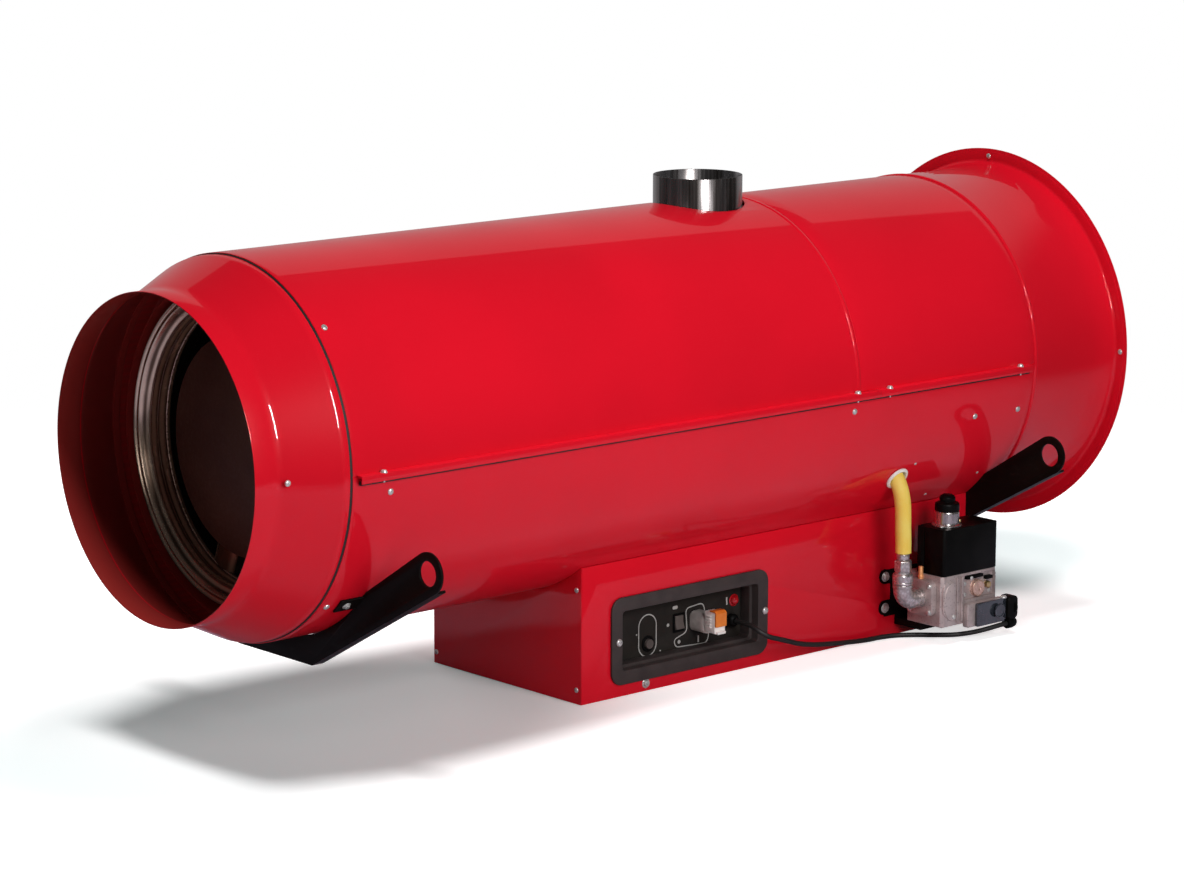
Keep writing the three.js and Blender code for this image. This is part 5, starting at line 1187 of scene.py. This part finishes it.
def makeValve():
    face = valve["face"]
    low, high, bottom, top = valve["pocket"]
    body = dressed("valve_body", 1.4, 3, 35)
    combine(body, block("pocket", (low, face - 5, bottom), (high, valve["floor"], top),
                        valve["pocketCorner"], yWay))
    settle(softenEdges(body, 0.4, 2, 50), cast, "cast_aluminium", "valve_body")
    pad = valve["pad"]
    right, middle, half = pad["right"], pad["middle"], pad["half"]
    edge = [(right, middle - half + 1), (right, middle + half - 1),
            *arc((right - pad["inset"], middle), pad["bulge"], math.pi / 2, math.pi, pad["steps"], half)]
    boss = prism("valve_pad", edge, (0, face + 1, 0), xWay, zWay, pad["thick"])
    settle(softenEdges(boss, 1.1, 3, 30), cast, "cast_aluminium")
    (bottom, top), rise = valve["ribSpan"], valve["ribRise"]
    for i, (left, right) in enumerate(valve["ribs"]):
        rib = block("valve_rib_%d" % (i + 1), (left, face - rise, bottom), (right, face + 1, top))
        settle(softenEdges(rib, 0.9, 3), cast, "cast_aluminium")
    dress("outlet_flange", (0.9, 3, 50), cast, "cast_aluminium")
    dress("inlet_flange", (0.9, 3, 50), cast, "cast_aluminium")
    cover = dressed("coil_cover", 1.0, 3, 50)
    combine(cover, block("groove", *valve["groove"]))
    settle(cover, blackPlastic, "black_plastic", "coil_cover")
    dress("valve_bracket", (0.5, 2, 50), black, "black_paint")
    lathe("damper_barrel", damper["barrel"], (0.9, 2), damper["place"], zWay, 64, flueBright, "zinc",
          "damper_cylinder")
    line = [(damper["base"] + rise, radius) for rise, radius in damper["cap"]]
    cap = turned("damper_top", rounded(line, 1.2, 3), damper["place"], zWay, 64)
    applyModifier(cap, "SOLIDIFY", thickness=damper["wall"] * milli, offset=-1)
    settle(cap, blackPlastic, "black_plastic", "damper_cap", body="cap")


def makeSwitch():
    dress("switch_base", (1.6, 3, 50), cast, "cast_aluminium")
    dress("switch_cover", (0.9, 3, 50), smokedLens, "smoked_lens")
    low, high = span("switch_plug")
    body = block("switch_connector", (low.x, low.y, switch["bottom"]),
                 (high.x - switch["short"], high.y, switch["top"]), switch["corner"], yWay, 6)
    settle(softenEdges(body, 2.2, 3, 40), blackPlastic, "black_plastic", "switch_plug")
    place = (high.x - switch["collarBack"], (low.y + high.y) / 2, switch["middle"])
    lathe("switch_collar", switch["collar"], (1, 2), place, xWay, 48, blackPlastic, "black_plastic",
          "switch_plug")
    nut = turned("switch_gland", switch["gland"], switch["glandPlace"], xWay, 12)
    settle(softenEdges(nut, 0.5, 2, 25), blackPlastic, "black_plastic", "switch_plug")
    place = (switch["dialX"], low.y + switch["dialSink"], switch["middle"])
    lathe("switch_dial", switch["dial"], (0.5, 2), place, -yWay, 48, smokedLens, "smoked_lens",
          "switch_cover")


elbow = {
    "x": 220, "y": -255, "z": 80, "radius": 16, "bend": 22, "start": 261.4, "steps": 16, "overlap": 8,
    "collar": [(0, 15), (0, 16.8), (6, 16.8), (7, 15)], "collarDrop": 7,
    "lip": [(0, 15), (0, 17), (5, 17), (6, 15)], "lipBack": 6.4,
}
union = {
    "collar": [(0, 14), (0, 17.2), (3.4, 17.4), (4.2, 16.4), (5, 17.4), (15.5, 17.4), (18, 16), (18, 13),
               (22, 13)],
    "nut": [(22, 13.4), (22.8, 15.5), (40, 15.5), (41.6, 13.6), (42, 9)],
    "neck": [(42, 10), (44, 11), (52, 11), (54, 9)],
}


def makeElbow():
    x, y, z, reach = (elbow[key] for key in ("x", "y", "z", "bend"))
    top = span("gas_elbow")[1].z
    bend = arc((x + reach, z + reach), reach, -math.pi / 2, -math.pi / 2, elbow["steps"])
    line = [(elbow["start"] + elbow["overlap"], z), *bend, (x, top - 1)]
    path = [point(across, y, high) for across, high in line]
    pipe = meshTube("elbow_pipe", path, elbow["radius"], resolution=9)
    collar = turned("elbow_collar", rounded(elbow["collar"], 0.8, 2), (x, y, top - elbow["collarDrop"]),
                    zWay, 48)
    lip = turned("elbow_lip", rounded(elbow["lip"], 0.8, 2), (elbow["start"] - elbow["lipBack"], y, z),
                 xWay, 48)
    settle(joined("elbow_cast", [pipe, collar, lip]), galvanised, "zinc", "gas_elbow")
    place = (x, y, span("hose_union")[0].z)
    collar = turned("union_collar", rounded(union["collar"], 0.7, 2), place, zWay, 48)
    nut = softenEdges(turned("union_nut", union["nut"], place, zWay, 6), 0.7, 2, 20)
    neck = turned("union_neck", rounded(union["neck"], 0.8, 2), place, zWay, 40)
    settle(joined("union_hose", [collar, nut, neck]), galvanised, "zinc", "hose_union", angle=30)


gasHose = {
    "radius": 13.8,
    "steps": 8,
    "route": [
        (220, -255, 164.6), (219.4, -255.6, 180), (216, -257.6, 205), (212.6, -260.2, 232),
        (210, -261, 254), (208, -259, 271), (207, -254.5, 284), (207, -246.6, 296), (207, -233.79, 306.5),
        (207, -218.87, 315.37),
    ],
}


def makeHose():
    path = [point(*spot) for spot in gasHose["route"]]
    hose = meshTube("hose_gas", smoothPath(path, gasHose["steps"]), gasHose["radius"], resolution=10)
    settle(softenEdges(hose, 1.0, 2, 60), yellow, "yellow_rubber", "gas_hose", angle=50)
    place = (grommet["x"], *around(bodyRadius, grommet["angle"]))
    lathe("grommet_hose", grommet["line"], (0.9, 3), place, outward(grommet["angle"]), 64, whitePlastic,
          "white_plastic", "hose_grommet", capped=False)


makeValve()
makeSwitch()
makeElbow()
makeHose()
print("stage: gas train made")


# details on the valve that only show as small things: bolts, plugs, caps and a pressure tap

details = {
    "rows": (
        ("cover_screw", "pan",
         [(283, -239, 200.4), (283, -290, 200.4), (402, -290, 200.4), (402, -239, 200.4)], zWay, 0.55, black),
        ("damper_screw", "pan", [(293, -275, 202), (341, -254, 202)], zWay, 0.85),
    ),
    "flangeSpots": ((-278, 103), (-278, 57), (-232, 57), (-232, 103)),
    "flanges": (("flange_screw", 261.7, -xWay, 0.72), ("inlet_screw", 423.4, xWay, 0.72)),
    "plate": ((338, -290, 98), (338, -290, 79), (347, -297, 108), (399, -290, 78)),
    "turned": (
        ("pressure_tap", [(0, 5), (5, 5), (6, 4.2), (21, 4), (21, 2), (17, 0)],
         (0.6, 2), (271, -249, 111), zWay, 24, copper),
        ("cover_pin", [(0, 3), (2.4, 3), (4.2, 2.2), (4.2, 0)],
         (0.4, 2), (352, -262, 200.4), zWay, 20, brass),
        ("regulator_cap", [(-1, 15), (2, 15), (2.6, 13.2), (4, 13.2), (4.6, 14.6), (7.4, 14.6), (8.6, 12),
                           (8.6, 4), (7.6, 3.6), (7.6, 0)], (0.7, 2), (366, -290, 88), -yWay, 48, beadSteel),
        ("regulator_stem", [(-1, 6.5), (7, 6.5), (8, 5), (8, 0)],
         (0.6, 2), (392, -290, 90), -yWay, 6, brass),
    ),
    "strips": (("terminal_strip", (336, -297.5, 106.5), (377, -289, 112)),
               ("terminal_end", (385, -297.5, 100), (401, -289, 106))),
    "single": (("switch_screw", "pan", (410, -314.6, 68), zWay, 1.1),
               ("body_foot", "pan", (283, -289, 31.2), -zWay, 0.9),
               ("pad_screw", "pan", (301, -300.2, 47), -yWay, 0.8)),
}


def makeValveDetails():
    for row in details["rows"]:
        fixRow(*row)
    fixPairs("hex", details["flangeSpots"], *details["flanges"])
    for row in details["turned"]:
        lathe(*row, "zinc")
    for name, low, high in details["strips"]:
        settle(softenEdges(block(name, low, high), 0.6, 2), blackPlastic, "black_plastic")
    fixRow("plate_screw", "pan", details["plate"], -yWay, 0.7)
    for row in details["single"]:
        fix(*row)


makeValveDetails()


# screws on the sheets: places along the tunnel in millimetres and round it in degrees

sheetScrews = {
    "shell": ((-982, 44.8), (-946, 1), (-928, -5.6), (51, 1), (51, -5.4), (126.5, 1.4), (449, 0.9),
              (353, -14.3), (461.6, -14.4), (-984, -44.7)),
    "onSeam": 2, "seamY": 305.928, "rivets": ((238, -29.1), (427, -39.4), (325, -46.9)),
    "cone": {"x": -1092, "reach": 265.056, "turns": (0, 180)},
    "rim": {"reach": 320, "turns": (0.6, 90, 180, 270)},
    "brackets": (("front", -946), ("rear", 474)),
    "box": ((-174.5, 188), (-174.5, 23.4), (178.9, 188), (178.9, 19.4)), "boxEnds": (-450, 450.1),
    "earth": (-309, -185.5, 13), "valve": (("high", 106.6), ("low", 51.4)), "valvePlace": (247, -188.8),
}


def makeScrews():
    for i, (x, degrees) in enumerate(sheetScrews["shell"]):
        for side, sign, angle in (("near", -1, degrees), ("far", 1, 180 - degrees)):
            name = "shell_screw_%s_%d" % (side, i + 1)
            if abs(degrees) < sheetScrews["onSeam"]:
                place = (x, sign * sheetScrews["seamY"], axisHeight + tunnel["top"])
                fix(name, "seam", place, zWay, 0.9)
            else:
                fixRound(name, "pan", x, bodyRadius, angle)
    for i, (x, degrees) in enumerate(sheetScrews["rivets"]):
        for side, angle in (("near", degrees), ("far", 180 - degrees)):
            fixRound("shell_rivet_%s_%d" % (side, i + 1), "pan", x, bodyRadius, angle, 0.5)
    cone, rim = sheetScrews["cone"], sheetScrews["rim"]
    for i, degrees in enumerate(cone["turns"]):
        fixRound("cone_screw_%d" % (i + 1), "pan", cone["x"], cone["reach"], degrees, 0.95)
    fixPairs("pan", [around(rim["reach"], degrees) for degrees in rim["turns"]],
             ("rim_screw", shroud["end"] - sheet, -xWay, 0.9),
             ("guard_screw", guard["rimX"] + guard["thick"], xWay, 1.0))
    reach = bracket["inner"] + bracket["tabThick"]
    for name, x in sheetScrews["brackets"]:
        for side, angle in (("near", -bracket["tab"]), ("far", bracket["tab"] - 180)):
            fixRound("bracket_bolt_%s_%s" % (name, side), "hex", x, reach, angle, 0.95)
    front, rear = sheetScrews["boxEnds"]
    fixPairs("pan", sheetScrews["box"], ("box_screw_front", front, -xWay, 0.85),
             ("box_screw_rear", rear, xWay, 0.85))
    fix("earth_bolt", "hex", sheetScrews["earth"], -yWay, 1.1)
    for name, z in sheetScrews["valve"]:
        fix("valve_bolt_" + name, "hex", (*sheetScrews["valvePlace"], z), -yWay, 1.2)
    for model in screwModels.values():
        bpy.data.objects.remove(model)
    print("stage: screws made")


makeScrews()


# the fan as eased copies, and the inner works with better materials

def makeFan():
    dress("fan_impeller", (0.8, 2, 40), fanGrey, "black_paint", "fan")
    dress("motor_support", (0.6, 2, 40), black, "black_paint")
    dress("fan_motor", (0.8, 2, 40), darkPlastic, "black_paint")
    for node, finish in (
        ("blower_housing", black), ("blower_motor", black), ("blower_wheel", zinc), ("burner_body", cast),
        ("burner_tube", scorched), ("burner_plate", zinc), ("gas_nozzle", brass), ("gas_pipe", galvanised),
        ("ignition_electrodes", zinc), ("chamber_spider", zinc), ("front_cradle", zinc),
        ("rear_cradle", zinc), ("cross_duct", exchangerSteel), ("flame_controller", greyPlastic),
        ("ignition_transformer", blackPlastic), ("limit_thermostat", blackPlastic), ("solenoid_coils", brass),
    ):
        nodes[node].data.materials.clear()
        nodes[node].data.materials.append(finish)


makeFan()
print("stage: fan and inner works made")

# floor, lights and world, in metres

studio = {
    # the floor: its colour for each kind of ray, and its glow, lowered in the shadow's two patches as painted
    # shadow
    "centre": -0.2, "radius": 3.2, "drop": -0.0006, "reach": (1.8, 2.7),
    "paper": (1.0, 1.0, 1.0), "bounce": (0.50, 0.50, 0.50), "shine": (0.40, 0.39, 0.50),
    "tint": (0.020, 0.088, 0.088), "glow": (0.62, 0.62, 0.62), "mirrored": 0.06,
    "shades": ((-0.90, 0.02, 0.60, 0.40), (0.76, 0.16, 0.36, 0.26)), "fade": (0.72, 1.35),
    # the lamps: place, target, size, power, seen in reflections, lights the surfaces
    "lamps": (
        ("key", (-0.65, -2.5, 1.2), (-0.45, -0.2, 0.45), (1.4, 1.4), 39, False, True),
        ("strip", (-1.0, -2.40, 1.6), (-0.9, -0.2, 0.5), (0.16, 0.9), 75, True, False),
        ("fill", (0.3, 2.6, 1.5), (0, 0.2, 0.4), (1.5, 1.2), 14, False, True),
        ("mouth", (-2.5, -0.9, 0.75), (-1.0, 0.1, 0.4), (0.45, 0.45), 1.3, True, True),
    ),
    "sun": {"way": (-0.12, -0.01, 1), "spread": 15, "power": 2.0},
    # the world: what the paint mirrors from behind the object, up to a level edge
    "behind": (0.668, 0.744), "side": (0.35, 0.62), "edge": (0.652, 0.662), "backdrop": 0.38, "dim": 0.03,
    "ambient": 0.05,
}


def makeFloor():
    centre = studio["centre"]
    deselectAll()
    bpy.ops.mesh.primitive_circle_add(vertices=96, radius=studio["radius"], fill_type="NGON",
                                      location=(centre, 0, studio["drop"]))
    floor = applyPlace(named("floor"))
    finish = Finish("floor")
    coordinates = finish.node("TexCoord", {}, {}, "Object")
    x, y = (finish.node("SeparateXYZ", {}, {"Vector": coordinates}, letter) for letter in "XY")
    far = finish.between(((x - centre) * (x - centre) + y * y) ** 0.5, *studio["reach"])
    rings = [(((x - across) / long) ** 2 + ((y - deep) / wide) ** 2) ** 0.5
             for across, deep, long, wide in studio["shades"]]
    nearest = finish.node("Math", {"operation": "MINIMUM"}, {0: rings[0], 1: rings[1]})
    outside = finish.between(nearest, *studio["fade"])
    seen, mirrored, through = (finish.node("LightPath", {}, {}, "Is %s Ray" % kind)
                               for kind in ("Camera", "Glossy", "Transmission"))
    colour = finish.mix(mirrored, studio["bounce"], studio["shine"])
    colour = finish.mix((seen + through).clamped(), colour, studio["paper"])
    paper = finish.node("BsdfDiffuse", {}, {"Color": colour})
    # painted shadow: inside the two patches the glow drops to a dark colour
    tone = finish.mix(outside, studio["tint"], studio["glow"])
    strength = (seen + through + mirrored * studio["mirrored"]).clamped()
    glow = finish.node("Emission", {}, {"Color": tone, "Strength": strength})
    both = finish.node("AddShader", {}, {0: paper, 1: glow})
    clear = finish.node("BsdfTransparent", {}, {})
    faded = finish.node("MixShader", {}, {0: far, 1: both, 2: clear})
    finish.node("OutputMaterial", {}, {"Surface": faded})
    floor.data.materials.append(finish.owner)


def linked(name, data, power):
    data.energy = power
    thing = bpy.data.objects.new(name, data)
    bpy.context.scene.collection.objects.link(thing)
    return thing


def lamp(name, place, target, size, power, glossy, diffuse):
    data = bpy.data.lights.new(name, "AREA")
    data.shape = "RECTANGLE"
    data.size, data.size_y = size
    thing = linked(name, data, power)
    thing.location = place
    thing.rotation_euler = (Vector(target) - Vector(place)).to_track_quat("-Z", "Y").to_euler()
    thing.visible_glossy, thing.visible_diffuse = glossy, diffuse


def overhead(name, way, spread, power):
    # even light from above, soft enough to blur the shadow's edge
    data = bpy.data.lights.new(name, "SUN")
    data.angle = math.radians(spread)
    thing = linked(name, data, power)
    thing.rotation_euler = Vector(way).to_track_quat("Z", "Y").to_euler()
    thing.visible_glossy = False


def makeWorld():
    world = bpy.data.worlds.new("studio")
    bpy.context.scene.world = world
    finish = Finish("studio", world)
    way = finish.node("TexCoord", {}, {}, "Generated")
    x, y, z = (finish.node("SeparateXYZ", {}, {"Vector": way}, letter) for letter in "XYZ")
    ahead, across = studio["behind"]
    behind = finish.between(x * ahead + y * across, *studio["side"])
    low = finish.between(z, *studio["edge"], 1.0, 0.0)
    mirror = behind * low * studio["backdrop"] + studio["dim"]
    seen, through, glossy = (finish.node("LightPath", {}, {}, "Is %s Ray" % kind)
                             for kind in ("Camera", "Transmission", "Glossy"))
    white = (seen + through).clamped()
    level = white + (1 - white) * (glossy * mirror + (1 - glossy) * studio["ambient"])
    sky = finish.node("Background", {}, {"Color": (1, 1, 1, 1), "Strength": level})
    finish.node("OutputWorld", {}, {"Surface": sky})


makeFloor()
for settings in studio["lamps"]:
    lamp(*settings)
overhead("top", **studio["sun"])
makeWorld()
bpy.context.scene.view_settings.view_transform = "Standard"
print("stage: floor, lights and world made")
